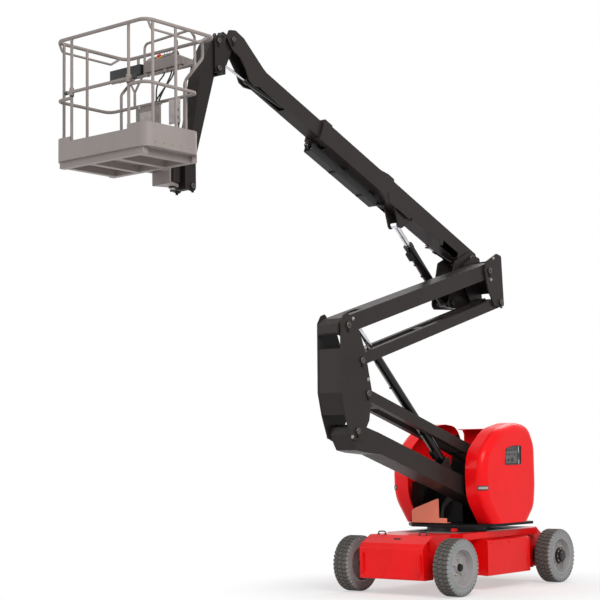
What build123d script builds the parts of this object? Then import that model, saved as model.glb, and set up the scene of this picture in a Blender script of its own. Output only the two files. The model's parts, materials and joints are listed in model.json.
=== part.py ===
"""Articulating boom lift: tower arms, telescopic boom, jib and work platform.

Millimetres. +X forwards, +Y to the left, +Z up, origin on the ground under the
slewing axis, half way between the axles. Drawn standing on its wheels with the
tower part raised, the boom part extended and the jib hanging.
"""

from build123d import *
import math
import os

os.makedirs("parts", exist_ok=True)

# Chassis and wheels
WHEELBASE = 2000.0
OVERALL_WIDTH = 1500.0
TYRE_DIAMETER = 600.0
TYRE_WIDTH = 190.0
RIM_DIAMETER = 410.0
CHASSIS_WIDTH = 830.0
CHASSIS_FRONT = 1245.0
CHASSIS_REAR = -1180.0
GROUND_CLEARANCE = 150.0
DECK_HEIGHT = 620.0
KINGPIN_Y = 520.0
SPINDLE_RADIUS = 28.0

# Turret and hoods
TURNTABLE_TOP = 700.0
HOOD_OUTER_Y = 620.0
HOOD_INNER_Y = 385.0
HOOD_WALL = 6.0
SLEW_RING_RADIUS = 330.0
HOOD_LOW = 706.0
HOOD_EDGE_RADIUS = 100.0
HOOD_HINGE = (-752.0, 375.0)
HINGE_HEIGHTS = (1220.0, 1430.0)
HINGE_PIN_RADIUS = 5.0

# Tower arms, in their own plane beside the boom
TOWER_Y = 175.0
TOWER_ELEVATION = 17.3
UPPER_ELEVATION = 16.2
LOWER_ARM_PIN = (-402.0, 906.0)
LOWER_ARM_LENGTH = 2730.0
LOWER_TIE_OFFSET = (-185.0, 380.0)
RISER_STEP = (125.0, 1057.0)
UPPER_ARM_LENGTH = 2739.0
UPPER_TIE_OFFSET = (-220.0, -345.0)
ARM_HALF_WIDTH = 130.0
ARM_WALL = 8.0
PLATE = 15.0
PLATE_GAP = 10.0
TIE_HALF_DEPTH = 58.0
TIE_INNER_Y = 65.0
PIN_RADIUS = 30.0
PIN_CLEARANCE = 0.06
CYLINDER_PIN_RADIUS = 22.0
JIB_PIN_RADIUS = 22.0

# Boom, jib and platform, in the boom's plane
BOOM_Y = -135.0
BOOM_ELEVATION = 22.5
BOOM_STEP = (-150.0, 188.0)
BOOM_HALF_WIDTH = 100.0
BOOM_HALF_DEPTH = 110.0
BOOM_LENGTH = 2910.0
BOOM_WALL = 6.0
INNER_HALF_WIDTH = 77.0
INNER_HALF_DEPTH = 87.0
INNER_START = 1200.0
JIB_LENGTH = 1250.0
JIB_ELEVATION = -72.5
BASKET_LENGTH = 920.0
BASKET_WIDTH = 1200.0
BASKET_HEIGHT = 1100.0

nodes = {}


def polar(start, elevation, length):
    """Point at a distance and an elevation from another, in the side view."""
    angle = math.radians(elevation)
    return (start[0] + length * math.cos(angle), start[1] + length * math.sin(angle))


def shifted(point, step):
    return (point[0] + step[0], point[1] + step[1])


def distance(a, b):
    return math.hypot(b[0] - a[0], b[1] - a[1])


def elevation_of(a, b):
    return math.degrees(math.atan2(b[1] - a[1], b[0] - a[0]))


def outline(points, radius=0.0):
    """Closed side-view outline with every corner rounded to one radius."""
    face = make_face(Polyline(*points, close=True))
    if radius:
        face = fillet(face.vertices(), radius)
    return face


def slab(points, y_low, y_high, radius=0.0):
    """Outline in X and Z with its thickness along Y."""
    face = Plane.XZ.offset(-y_high) * outline(points, radius)
    return extrude(face, y_high - y_low)


def deck_slab(points, z_low, z_high, radius=0.0):
    """Outline in X and Y with its thickness along Z."""
    face = Plane.XY.offset(z_low) * outline(points, radius)
    return extrude(face, z_high - z_low)


def cross_slab(points, x_low, x_high, radius=0.0):
    """Outline in Y and Z with its thickness along X."""
    face = Plane.YZ.offset(x_low) * outline(points, radius)
    return extrude(face, x_high - x_low)


def bar_y(pin, y_low, y_high, radius):
    """Round bar along Y through a side-view point."""
    place = Pos(pin[0], (y_low + y_high) / 2, pin[1]) * Rot(90, 0, 0)
    return place * Cylinder(radius, y_high - y_low)


def bar_x(y, z, x_low, x_high, radius):
    place = Pos((x_low + x_high) / 2, y, z) * Rot(0, 90, 0)
    return place * Cylinder(radius, x_high - x_low)


def bar_z(x, y, z_low, z_high, radius):
    return Pos(x, y, (z_low + z_high) / 2) * Cylinder(radius, z_high - z_low)


def block(x_low, x_high, y_low, y_high, z_low, z_high):
    place = Pos((x_low + x_high) / 2, (y_low + y_high) / 2, (z_low + z_high) / 2)
    return place * Box(x_high - x_low, y_high - y_low, z_high - z_low)


def along(pin, elevation, part, y=0.0):
    """Places a link drawn flat along X at its pin and elevation."""
    return Location((pin[0], y, pin[1]), (0, -elevation, 0)) * part


def hull_plate(circles, y_low, y_high):
    """Plate wrapped round a ring of side-view circles (x, z, radius)."""
    face = make_hull([Pos(x, z) * Edge.make_circle(r) for x, z, r in circles])
    return extrude(Plane.XZ.offset(-y_high) * face, y_high - y_low)


def turned_y(profile, x, y, z):
    """Ring turned about a line along Y; the profile lists (radius, y)."""
    face = make_face(Polyline(*profile, close=True))
    return Pos(x, y, z) * revolve(face, Axis.Y)


def keep(name, *solids):
    """Joins the pieces of one node and stores it under its name."""
    whole = solids[0]
    for solid in solids[1:]:
        whole = whole + solid
    nodes[name] = whole


# Side-view places of every pin
lower_tie_pin = shifted(LOWER_ARM_PIN, LOWER_TIE_OFFSET)
riser_low_pin = polar(LOWER_ARM_PIN, TOWER_ELEVATION, LOWER_ARM_LENGTH)
riser_low_tie = shifted(riser_low_pin, LOWER_TIE_OFFSET)
riser_top_pin = shifted(riser_low_pin, RISER_STEP)
riser_top_tie = shifted(riser_top_pin, UPPER_TIE_OFFSET)
knuckle_pin = polar(riser_top_pin, 180.0 - UPPER_ELEVATION, UPPER_ARM_LENGTH)
knuckle_tie = shifted(knuckle_pin, UPPER_TIE_OFFSET)
boom_pin = shifted(knuckle_pin, BOOM_STEP)


def on_boom(s, h):
    """Side-view point at s along the boom and h above its centre line."""
    angle = math.radians(BOOM_ELEVATION)
    x = boom_pin[0] + s * math.cos(angle) - h * math.sin(angle)
    z = boom_pin[1] + s * math.sin(angle) + h * math.cos(angle)
    return (x, z)


def on_lower_arm(s, h):
    angle = math.radians(TOWER_ELEVATION)
    x = LOWER_ARM_PIN[0] + s * math.cos(angle) - h * math.sin(angle)
    z = LOWER_ARM_PIN[1] + s * math.sin(angle) + h * math.cos(angle)
    return (x, z)


def on_upper_arm(s, h):
    """Point at s from the knuckle's pin towards the riser, h above the arm's line."""
    angle = math.radians(-UPPER_ELEVATION)
    x = knuckle_pin[0] + s * math.cos(angle) - h * math.sin(angle)
    z = knuckle_pin[1] + s * math.sin(angle) + h * math.cos(angle)
    return (x, z)


# ---------------------------------------------------------------- chassis
def chassis_frame():
    half = CHASSIS_WIDTH / 2
    low = GROUND_CLEARANCE + 15
    side = [
        (CHASSIS_FRONT, low),
        (CHASSIS_FRONT, 490),
        (1200, 540),
        (1050, DECK_HEIGHT),
        (-1010, DECK_HEIGHT),
        (CHASSIS_REAR, 500),
        (CHASSIS_REAR, low),
    ]
    hull = slab(side, -half, half, 18)
    # Deck wings beside the slewing ring, ahead of and behind the side boxes
    wing = [(-900, -500), (-900, 500), (620, 500), (660, half), (660, -half), (620, -500)]
    hull = hull + deck_slab(wing, DECK_HEIGHT - 70, DECK_HEIGHT, 12)
    # Belly stays clear of the ground between the axles
    belly = [(-760, low - 1), (-760, 215), (760, 215), (760, low - 1)]
    hull = hull - slab(belly, -half - 1, half + 1)
    # Steered wheels turn beside the front part
    for y_sign in (-1, 1):
        hull = hull - tie_down_slot(y_sign)
    # Seats for both axles
    rear_seat = (-WHEELBASE / 2 - 66, -WHEELBASE / 2 + 66)
    front_seat = (WHEELBASE / 2 - 150, WHEELBASE / 2 + 66)
    for x_low, x_high in (rear_seat, front_seat):
        hull = hull - block(x_low, x_high, -half - 1, half + 1, low - 1, TYRE_DIAMETER / 2 + 72)
    return hull


def tie_down_slot(y_sign):
    """Tall slot through the front shoulder's outer ear, open to both sides."""
    half = CHASSIS_WIDTH / 2
    y_low, y_high = sorted((y_sign * (half - 60), y_sign * (half + 1)))
    return block(1120, 1160, y_low, y_high, 440, 560)


def side_boxes():
    """Low covers between the wheels with a sloping inner top edge."""
    both = None
    for y_sign in (-1, 1):
        half = CHASSIS_WIDTH / 2
        section = [
            (half + 1, 165),
            (600, 155),
            (600, 530),
            (560, DECK_HEIGHT - 75),
            (half + 1, DECK_HEIGHT - 75),
        ]
        section = [(y_sign * y, z) for y, z in section]
        box = cross_slab(section, -560, 300, 14)
        both = box if both is None else both + box
    return both


def axle_beam(x, half_length):
    """Square beam between the wheels with a rounded belly."""
    section = [(x - 60, 235), (x + 60, 235), (x + 60, 365), (x - 60, 365)]
    return slab(section, -half_length, half_length, 20)


def steering_axle():
    """Front beam with a fork at each end for the steering knuckles, and the steering cylinder."""
    x = WHEELBASE / 2
    beam = axle_beam(x, KINGPIN_Y - 70)
    for y_sign in (-1, 1):
        y_low, y_high = sorted((y_sign * (KINGPIN_Y - 80), y_sign * (KINGPIN_Y + 26)))
        for z_low in (222, 358):
            beam = beam + block(x - 40, x + 40, y_low, y_high, z_low, z_low + 20)
        beam = beam + bar_z(x, y_sign * KINGPIN_Y, 222, 378, 16)
    # Steering cylinder behind the beam
    beam = beam + block(x - 100, x - 55, -120, 120, 280, 330)
    beam = beam + bar_y((x - 110, 305), -170, 170, 32)
    return beam


def steering_knuckle(y_sign):
    """Upright on the kingpin with the wheel's spindle and its steering arm."""
    x = WHEELBASE / 2
    y = y_sign * KINGPIN_Y
    upright = bar_z(x, y, 248, 352, 34)
    y_low, y_high = sorted((y, y_sign * (KINGPIN_Y + 52)))
    upright = upright + block(x - 30, x + 30, y_low, y_high, 262, 338)
    y_low, y_high = sorted((y_sign * (KINGPIN_Y + 30), y_sign * (KINGPIN_Y + 52)))
    upright = upright + bar_y((x, 300), y_low, y_high, 49)
    y_low, y_high = sorted((y_sign * (KINGPIN_Y + 40), y_sign * (OVERALL_WIDTH / 2 - 52)))
    upright = upright + bar_y((x, 300), y_low, y_high, SPINDLE_RADIUS)
    y_low, y_high = sorted((y_sign * (KINGPIN_Y - 30), y))
    upright = upright + block(x - 130, x - 12, y_low, y_high, 290, 312)
    return upright - bar_z(x, y, 240, 360, 16 + PIN_CLEARANCE)


def rear_axle():
    """Rear beam with a drive motor behind each wheel hub."""
    x = -WHEELBASE / 2
    beam = axle_beam(x, 470)
    for y_sign in (-1, 1):
        y_low, y_high = sorted((y_sign * 440, y_sign * 548))
        beam = beam + bar_y((x, 300), y_low, y_high, 118)
        y_low, y_high = sorted((y_sign * 540, y_sign * (OVERALL_WIDTH / 2 - 60)))
        beam = beam + bar_y((x, 300), y_low, y_high, SPINDLE_RADIUS + 22)
    return beam


def tyre(x, y_sign):
    """Solid tyre with round shoulders on its rim."""
    outer = TYRE_DIAMETER / 2
    inner = RIM_DIAMETER / 2
    half = TYRE_WIDTH / 2
    face = outline([(inner, -half), (outer, -half), (outer, half), (inner, half)])
    shoulders = [v for v in face.vertices() if v.X > outer - 1]
    face = fillet(shoulders, 26)
    ring = revolve(face, Axis.Y)
    return Pos(x, y_sign * (OVERALL_WIDTH / 2 - half), outer) * ring


def rim(x, y_sign, dish, bore):
    """Wheel rim: barrel, dished disc and hub boss round the axle."""
    outer = RIM_DIAMETER / 2 - 0.3
    half = TYRE_WIDTH / 2
    hub = bore + 24
    # Radius and height from the wheel's middle; positive heights face outwards
    profile = [
        (bore, -half + 28),
        (hub, -half + 28),
        (hub, dish - 16),
        (outer - 34, dish - 22),
        (outer - 22, -half + 6),
        (outer, -half + 6),
        (outer, half - 4),
        (outer - 14, half - 4),
        (outer - 30, dish),
        (hub + 10, dish + 6),
        (hub, dish + 26),
        (bore, dish + 26),
    ]
    profile = [(r, y_sign * y) for r, y in profile]
    return turned_y(profile, x, y_sign * (OVERALL_WIDTH / 2 - half), TYRE_DIAMETER / 2)


def drive_hub(y_sign):
    """Stepped gear hub that stands out of a rear wheel."""
    wheel_middle = OVERALL_WIDTH / 2 - TYRE_WIDTH / 2
    bore = SPINDLE_RADIUS + 22 + PIN_CLEARANCE
    profile = [
        (bore, -66),
        (69.7, -66),
        (69.7, 60),
        (92, 60),
        (92, 84),
        (62, 90),
        (62, 112),
        (30, 118),
        (0, 118),
        (0, 70),
        (bore, 70),
    ]
    profile = [(r, y_sign * y) for r, y in profile]
    return turned_y(profile, -WHEELBASE / 2, y_sign * wheel_middle, TYRE_DIAMETER / 2)


keep("chassis_frame", chassis_frame())
keep("side_boxes", side_boxes())
keep("steering_axle", steering_axle())
keep("rear_axle", rear_axle())
# Side name, sign of Y
for side, y_sign in (("left", 1), ("right", -1)):
    keep(f"steering_knuckle_{side}", steering_knuckle(y_sign))
    keep(f"front_tyre_{side}", tyre(WHEELBASE / 2, y_sign))
    keep(f"rear_tyre_{side}", tyre(-WHEELBASE / 2, y_sign))
    keep(f"front_rim_{side}", rim(WHEELBASE / 2, y_sign, 20, SPINDLE_RADIUS + PIN_CLEARANCE))
    keep(f"rear_rim_{side}", rim(-WHEELBASE / 2, y_sign, 30, 70))
    keep(f"drive_hub_{side}", drive_hub(y_sign))


# ----------------------------------------------------------------- turret
def slew_ring():
    ring = bar_z(0, 0, DECK_HEIGHT, DECK_HEIGHT + 45, SLEW_RING_RADIUS)
    return ring - bar_z(0, 0, DECK_HEIGHT - 1, DECK_HEIGHT + 46, SLEW_RING_RADIUS - 70)


def turret_frame():
    """Turntable plate, two bulkheads and the pivot plates of the tower arms."""
    low = DECK_HEIGHT + 51
    table = [(-745, -560), (-745, 560), (140, 560), (400, 330), (400, -330), (140, -560)]
    body = deck_slab(table, low, TURNTABLE_TOP, 40)
    body = body + bar_z(0, 0, DECK_HEIGHT + 47, low + 1, SLEW_RING_RADIUS - 30)
    top = TURNTABLE_TOP - 1
    bulkhead = [
        (-735, top),
        (-735, 1560),
        (-620, 1690),
        (-560, 1690),
        (-480, 1350),
        (-60, 1210),
        (120, 900),
        (120, top),
    ]
    for y_low in (-375, 363):
        body = body + slab(bulkhead, y_low, y_low + 12, 30)
    pivots = [
        (LOWER_ARM_PIN[0] + 20, LOWER_ARM_PIN[1], 120),
        (lower_tie_pin[0], lower_tie_pin[1], 72),
        (-620, 765, 75),
        (-250, 745, 55),
    ]
    inner = ARM_HALF_WIDTH + PLATE_GAP
    for y_low in (TOWER_Y - inner - PLATE, TOWER_Y + inner):
        body = body + hull_plate(pivots, y_low, y_low + PLATE)
    for pin in (LOWER_ARM_PIN, lower_tie_pin):
        body = body + bar_y(pin, TOWER_Y - inner - PLATE - 8, TOWER_Y + inner + PLATE + 8, PIN_RADIUS)
    # Hood hinges at the tail: two pins a side, each between a pair of lugs
    hinge_x, hinge_y = HOOD_HINGE
    for y_sign in (-1, 1):
        for z in HINGE_HEIGHTS:
            y_low, y_high = sorted((y_sign * (hinge_y - 9), y_sign * (hinge_y - 1)))
            for z_low in (z - 34, z + 14):
                body = body + block(hinge_x, hinge_x + 24, y_low, y_high, z_low, z_low + 20)
                body = body + bar_z(hinge_x, y_sign * hinge_y, z_low, z_low + 20, 9)
            body = body + bar_z(hinge_x, y_sign * hinge_y, z - 34, z + 34, HINGE_PIN_RADIUS)
    return body


def counterweight():
    """Cast block between the hoods, cut away round the arm pivots."""
    inner = ARM_HALF_WIDTH + PLATE_GAP + PLATE + 10
    plan = [
        (-735, -358),
        (-735, 358),
        (-700, 358),
        (-700, TOWER_Y - inner),
        (-120, TOWER_Y - inner),
        (-120, -358),
    ]
    low = deck_slab(plan, TURNTABLE_TOP, 1080)
    rear = block(-735, -700, -358, 358, TURNTABLE_TOP, 1400)
    return low + rear


def battery_packs():
    """One plain block under each hood."""
    left = block(-520, 90, 402, 535, TURNTABLE_TOP, 1160)
    right = block(-520, 90, -535, -402, TURNTABLE_TOP, 1160)
    return left + right


def hood_side(inset):
    """Side view of a hood, shrunk evenly by the inset; it runs on below the hood's edge."""
    # X and Z of the corners, then their rounding
    corners = [
        (32, 560, 0),
        (375, 985, 420),
        (382, 1300, 600),
        (340, 1500, 300),
        (30, 1740, 500),
        (-350, 1815, 600),
        (-620, 1780, 200),
        (-742, 1560, 300),
        (-742, 1100, 900),
        (-705, 850, 260),
        (-413, 560, 0),
    ]
    face = make_face(Polyline(*[(x, z) for x, z, _ in corners], close=True))
    for x, z, radius in corners:
        near = [v for v in face.vertices() if abs(v.X - x) < 0.5 and abs(v.Y - z) < 0.5]
        if radius:
            face = fillet(near, radius)
    if inset:
        face = offset(face, amount=-inset, kind=Kind.INTERSECTION)
    return face


def hood_solid(inset, depth, edge_radius):
    """Filled hood lying flat, its outer face upwards and that face's edge rounded."""
    solid = extrude(hood_side(inset), depth)
    rim_edges = solid.faces().sort_by(Axis.Z)[-1].edges()
    lowest = rim_edges.sort_by(Axis.Y)[0]
    return fillet([edge for edge in rim_edges if edge != lowest], edge_radius)


def hood(y_sign):
    """Moulded cover with a big rounded outer edge, open below and towards the middle."""
    depth = HOOD_OUTER_Y - HOOD_INNER_Y
    outer = hood_solid(0, depth, HOOD_EDGE_RADIUS)
    inner = Pos(0, 0, -20) * hood_solid(HOOD_WALL, depth + 20 - HOOD_WALL, HOOD_EDGE_RADIUS - HOOD_WALL)
    shell = mirror(outer - inner, Plane.XY)
    shell = Plane((0, HOOD_INNER_Y, 0), x_dir=(1, 0, 0), z_dir=(0, -1, 0)) * shell
    shell = shell - block(-900, 600, 300, 700, 500, HOOD_LOW)
    if y_sign > 0:
        # Window over the controls on the turret
        window = [(-87, 1515), (-213, 1547), (-402, 1550), (-391, 1345), (-58, 1344)]
        shell = shell - slab(window, HOOD_OUTER_Y - 60, HOOD_OUTER_Y + 20, 18)
    hinge_x, hinge_y = HOOD_HINGE
    for z in HINGE_HEIGHTS:
        shell = shell + block(hinge_x - 4, hinge_x + 15, hinge_y + 6, hinge_y + 40, z - 12, z + 12)
        shell = shell + bar_z(hinge_x, hinge_y, z - 12, z + 12, 9)
        shell = shell - bar_z(hinge_x, hinge_y, z - 13, z + 13, HINGE_PIN_RADIUS + PIN_CLEARANCE)
    if y_sign < 0:
        shell = mirror(shell, Plane.XZ)
    return shell


def ground_controls():
    """Control box behind the left hood's window, on a bracket from the bulkhead."""
    box = block(-400, -70, 500, 572, 1335, 1560)
    foot = block(-340, -140, 375, 520, 1212, 1224)
    return box + foot + block(-340, -140, 508, 520, 1212, 1336)


def sleeve(x, z, half_width, radius):
    """Pin bearing across a link, to be bored by its pin afterwards."""
    return bar_y((x, z), -half_width, half_width, radius)


def pin_bore(x, z, half_width, radius=PIN_RADIUS):
    return bar_y((x, z), -half_width - 1, half_width + 1, radius + PIN_CLEARANCE)


def eye(x, half_width, radius, pin_radius):
    """End eye of a cylinder, ready for its pin."""
    ring = bar_y((x, 0), -half_width, half_width, radius)
    return ring - pin_bore(x, 0, half_width, pin_radius)


def lug_pair(x, z, z_root, gap, thickness, radius, spread):
    """Two ears round a pin point, standing on a face at z_root."""
    pair = None
    for y_low in (-gap - thickness, gap):
        circles = [(x, z, radius), (x - spread, z_root, 6), (x + spread, z_root, 6)]
        ear = hull_plate(circles, y_low, y_low + thickness)
        pair = ear if pair is None else pair + ear
    return pair


# ------------------------------------------------------------- tower arms
ARM_DEPTH = 100.0
CYLINDER_FOOT = (1005.0, 194.0)
CYLINDER_HEAD = (2454.0, 12.0)


def lower_arm():
    """Welded box arm, deeper and cranked at the riser end."""
    half = ARM_HALF_WIDTH
    end = LOWER_ARM_LENGTH
    side = [
        (-75, -100),
        (-105, -60),
        (-105, 60),
        (-75, ARM_DEPTH),
        (end - 370, ARM_DEPTH),
        (end - 40, 85),
        (end + 82, 20),
        (end + 78, -60),
        (end - 70, -178),
        (end - 210, -160),
        (end - 480, -ARM_DEPTH),
    ]
    arm = slab(side, -half, half, 12)
    wall = ARM_WALL
    room = [
        (70, wall - ARM_DEPTH),
        (70, ARM_DEPTH - wall),
        (end - 380, ARM_DEPTH - wall),
        (end - 380, wall - ARM_DEPTH),
    ]
    arm = arm - slab(room, wall - half, half - wall)
    foot_x, foot_z = CYLINDER_FOOT
    arm = arm + lug_pair(foot_x, foot_z, ARM_DEPTH - 2, 56, 12, 46, 105)
    arm = arm + bar_y((foot_x, foot_z), -72, 72, CYLINDER_PIN_RADIUS)
    for x in (0, end):
        arm = arm - pin_bore(x, 0, half)
    return along(LOWER_ARM_PIN, TOWER_ELEVATION, arm, TOWER_Y)


def tie(end, cross_places):
    """Twin bars with cross tubes; the tower cylinder passes between them."""
    bar = [(-60, 0), (-42, TIE_HALF_DEPTH), (end + 42, TIE_HALF_DEPTH), (end + 60, 0)]
    bar = bar + [(end + 42, -TIE_HALF_DEPTH), (-42, -TIE_HALF_DEPTH)]
    half = ARM_HALF_WIDTH
    pair = slab(bar, TIE_INNER_Y, half, 14) + slab(bar, -half, -TIE_INNER_Y, 14)
    wall = ARM_WALL
    room = [
        (70, wall - TIE_HALF_DEPTH),
        (70, TIE_HALF_DEPTH - wall),
        (end - 70, TIE_HALF_DEPTH - wall),
        (end - 70, wall - TIE_HALF_DEPTH),
    ]
    pair = pair - slab(room, TIE_INNER_Y + wall, half - wall) - slab(room, wall - half, -TIE_INNER_Y - wall)
    for x in cross_places:
        pair = pair + block(x - 45, x + 45, -half + 2, half - 2, 6 - TIE_HALF_DEPTH, TIE_HALF_DEPTH - 6)
    for x in (0, end):
        pair = pair + sleeve(x, 0, half, 48)
        pair = pair - pin_bore(x, 0, half)
    return pair


def upper_arm():
    """Box arm, open below at its front end where the cylinder rod reaches in."""
    half = ARM_HALF_WIDTH
    end = UPPER_ARM_LENGTH
    depth = 86
    side = [
        (-60, -depth),
        (-100, -30),
        (-100, 40),
        (-70, depth),
        (end + 40, depth),
        (end + 128, 40),
        (end + 160, -40),
        (end + 120, -depth),
    ]
    arm = slab(side, -half, half, 14)
    wall = ARM_WALL
    room = [(70, wall - depth), (70, depth - wall), (1780, depth - wall), (1780, wall - depth)]
    arm = arm - slab(room, wall - half, half - wall)
    channel = [
        (1880, -depth - 5),
        (1880, depth - wall),
        (end + 30, depth - wall),
        (end + 112, 34),
        (end + 140, -depth - 5),
    ]
    arm = arm - slab(channel, wall - half, half - wall)
    arm = arm + sleeve(end, 0, half, 48)
    head_x, head_z = CYLINDER_HEAD
    arm = arm - block(head_x - 130, head_x + 70, -44, 44, 0, depth + 1)
    for y_low in (-64, 44):
        arm = arm + block(head_x - 60, head_x + 60, y_low, y_low + 20, head_z - 52, depth - 4)
    for x in (0, end):
        arm = arm - pin_bore(x, 0, half)
    return along(knuckle_pin, -UPPER_ELEVATION, arm, TOWER_Y)


def riser():
    """Two side plates with a rolled front plate, joining both pairs of arms."""
    low_x, low_z = riser_low_pin
    top_x, top_z = riser_top_pin
    side = [
        (top_x, top_z + 130),
        (top_x + 60, top_z + 105),
        (top_x + 112, top_z + 25),
        (top_x + 120, top_z - 675),
        (top_x + 64, top_z - 899),
        (low_x + 105, low_z - 60),
        (low_x + 30, low_z - 98),
        (low_x - 75, low_z - 75),
        (low_x - 200, low_z + 108),
        (low_x - 252, low_z + 405),
        (top_x - 281, top_z - 259),
        (top_x - 193, top_z - 59),
    ]
    inner = ARM_HALF_WIDTH + PLATE_GAP
    body = slab(side, TOWER_Y - inner - PLATE, TOWER_Y - inner, 16)
    body = body + slab(side, TOWER_Y + inner, TOWER_Y + inner + PLATE, 16)
    front = [
        (top_x + 108, top_z - 235),
        (top_x + 116, top_z - 675),
        (top_x + 60, top_z - 895),
        (top_x + 52, top_z - 892),
        (top_x + 107, top_z - 673),
        (top_x + 99, top_z - 235),
    ]
    body = body + slab(front, TOWER_Y - inner - 1, TOWER_Y + inner + 1)
    for pin in (riser_low_pin, riser_low_tie, riser_top_pin, riser_top_tie):
        body = body + bar_y(pin, TOWER_Y - inner - PLATE - 8, TOWER_Y + inner + PLATE + 8, PIN_RADIUS)
        for y_low in (TOWER_Y - inner - PLATE - 4, TOWER_Y + inner + PLATE):
            body = body + bar_y(pin, y_low, y_low + 4, 46)
    return body


def knuckle():
    """Side plates on the tower arms, with the boom's bracket beside them."""
    x, z = knuckle_pin
    kite = [
        (x - 165, z + 212),
        (x - 260, z + 191),
        (x - 294, z - 386),
        (x - 92, z - 399),
        (x + 25, z - 224),
        (x + 97, z - 1),
        (x + 60, z + 100),
    ]
    inner = ARM_HALF_WIDTH + PLATE_GAP
    body = slab(kite, TOWER_Y - inner - PLATE, TOWER_Y - inner, 22)
    body = body + slab(kite, TOWER_Y + inner, TOWER_Y + inner + PLATE, 22)
    body = body + block(x - 274, x - 262, TOWER_Y - inner - 1, TOWER_Y + inner + 1, z - 230, z + 150)
    for pin in (knuckle_pin, knuckle_tie):
        body = body + bar_y(pin, TOWER_Y - inner - PLATE - 8, TOWER_Y + inner + PLATE + 8, PIN_RADIUS)
    bx, bz = boom_pin
    fx, fz = LIFT_FOOT
    cheek = [
        (bx, bz, 78),
        (bx - 40, fz + 20, 60),
        (fx, fz, 62),
        (LEVEL_FOOT[0] - 12, LEVEL_FOOT[1], 40),
    ]
    gap = BOOM_HALF_WIDTH + 7
    for y_low in (BOOM_Y - gap - PLATE, BOOM_Y + gap):
        body = body + hull_plate(cheek, y_low, y_low + PLATE)
    y_near = BOOM_Y + gap + PLATE - 1
    y_kite = TOWER_Y - inner - PLATE + 1
    body = body + block(x - 262, x - 110, y_near, y_kite, z - 300, z + 60)
    body = body + block(bx - 85, fx - 90, BOOM_Y - gap - 1, BOOM_Y + gap + 1, fz - 38, fz - 26)
    body = body + block(bx - 97, bx - 85, BOOM_Y - gap - 1, BOOM_Y + gap + 1, fz - 38, bz - 260)
    body = body + bar_y(boom_pin, BOOM_Y - gap - PLATE - 10, BOOM_Y + gap + PLATE + 10, PIN_RADIUS)
    body = body + bar_y(LIFT_FOOT, BOOM_Y - gap - PLATE - 6, BOOM_Y + gap + PLATE + 6, CYLINDER_PIN_RADIUS)
    body = body + bar_y(LEVEL_FOOT, BOOM_Y + LEVEL_Y - 18, BOOM_Y + gap + 1, 14)
    return body


def cylinder_barrel(length, radius, bore, rod_radius, eye_half, eye_radius, pin_radius):
    """Drawn along X from its foot pin; the gland end is open for the rod."""
    barrel = bar_x(0, 0, eye_radius - 8, length, radius)
    barrel = barrel + bar_x(0, 0, length - 50, length, radius + 6)
    barrel = barrel - bar_x(0, 0, eye_radius + 20, length - 45, bore)
    barrel = barrel - bar_x(0, 0, length - 46, length + 1, rod_radius + PIN_CLEARANCE)
    return barrel + eye(0, eye_half, eye_radius, pin_radius) - pin_bore(0, 0, eye_half, pin_radius)


def cylinder_rod(pin_distance, start, rod_radius, piston_radius, eye_half, eye_radius, pin_radius):
    """Rod with its piston at the start and its eye round the far pin."""
    rod = bar_x(0, 0, start, pin_distance - eye_radius + 8, rod_radius)
    rod = rod + bar_x(0, 0, start, start + 40, piston_radius)
    return rod + eye(pin_distance, eye_half, eye_radius, pin_radius)


LIFT_FOOT = (-40.0, 3180.0)
LEVEL_FOOT = (-136.0, 3634.0)
LIFT_HEAD = (1310.0, -252.0)
LEVEL_HEAD = (789.0, -262.0)
LEVEL_Y = 80.0
tower_foot = on_lower_arm(*CYLINDER_FOOT)
tower_head = on_upper_arm(*CYLINDER_HEAD)
lift_head = on_boom(*LIFT_HEAD)
level_head = on_boom(*LEVEL_HEAD)

keep("slew_ring", slew_ring())
keep("turret_frame", turret_frame())
keep("counterweight", counterweight())
keep("battery_packs", battery_packs())
keep("hood_left", hood(1))
keep("hood_right", hood(-1))
keep("ground_controls", ground_controls())
keep("lower_arm", lower_arm())
keep("lower_tie", along(lower_tie_pin, TOWER_ELEVATION, tie(LOWER_ARM_LENGTH, (230, 820, 2440)), TOWER_Y))
keep("riser", riser())
keep("upper_arm", upper_arm())
keep("upper_tie", along(knuckle_tie, -UPPER_ELEVATION, tie(UPPER_ARM_LENGTH, (230, 900, 1480)), TOWER_Y))
keep("knuckle", knuckle())


def set_cylinder(name, foot, head, y, sizes):
    """Barrel and rod of one cylinder between its two pins.

    sizes: barrel length, barrel radius, bore, rod radius, eye half width, eye radius,
    rod start, pin radius.
    """
    length, radius, bore, rod_radius, eye_half, eye_radius, start, pin_radius = sizes
    tilt = elevation_of(foot, head)
    barrel = cylinder_barrel(length, radius, bore, rod_radius, min(radius + 2, 50), eye_radius, pin_radius)
    rod = cylinder_rod(distance(foot, head), start, rod_radius, bore - 1, eye_half, eye_radius, pin_radius)
    keep(f"{name}_barrel", along(foot, tilt, barrel, y))
    keep(f"{name}_rod", along(foot, tilt, rod, y))


tower_sizes = (1640, 48, 40, 28, 38, 44, 470, CYLINDER_PIN_RADIUS)
set_cylinder("tower_cylinder", tower_foot, tower_head, TOWER_Y, tower_sizes)
lift_sizes = (905, 50, 42, 30, 38, 36, 318, CYLINDER_PIN_RADIUS)
set_cylinder("lift_cylinder", LIFT_FOOT, lift_head, BOOM_Y, lift_sizes)
level_sizes = (400, 14, 10, 7, 12, 22, 132, 14)
set_cylinder("levelling_cylinder", LEVEL_FOOT, level_head, BOOM_Y + LEVEL_Y, level_sizes)


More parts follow.
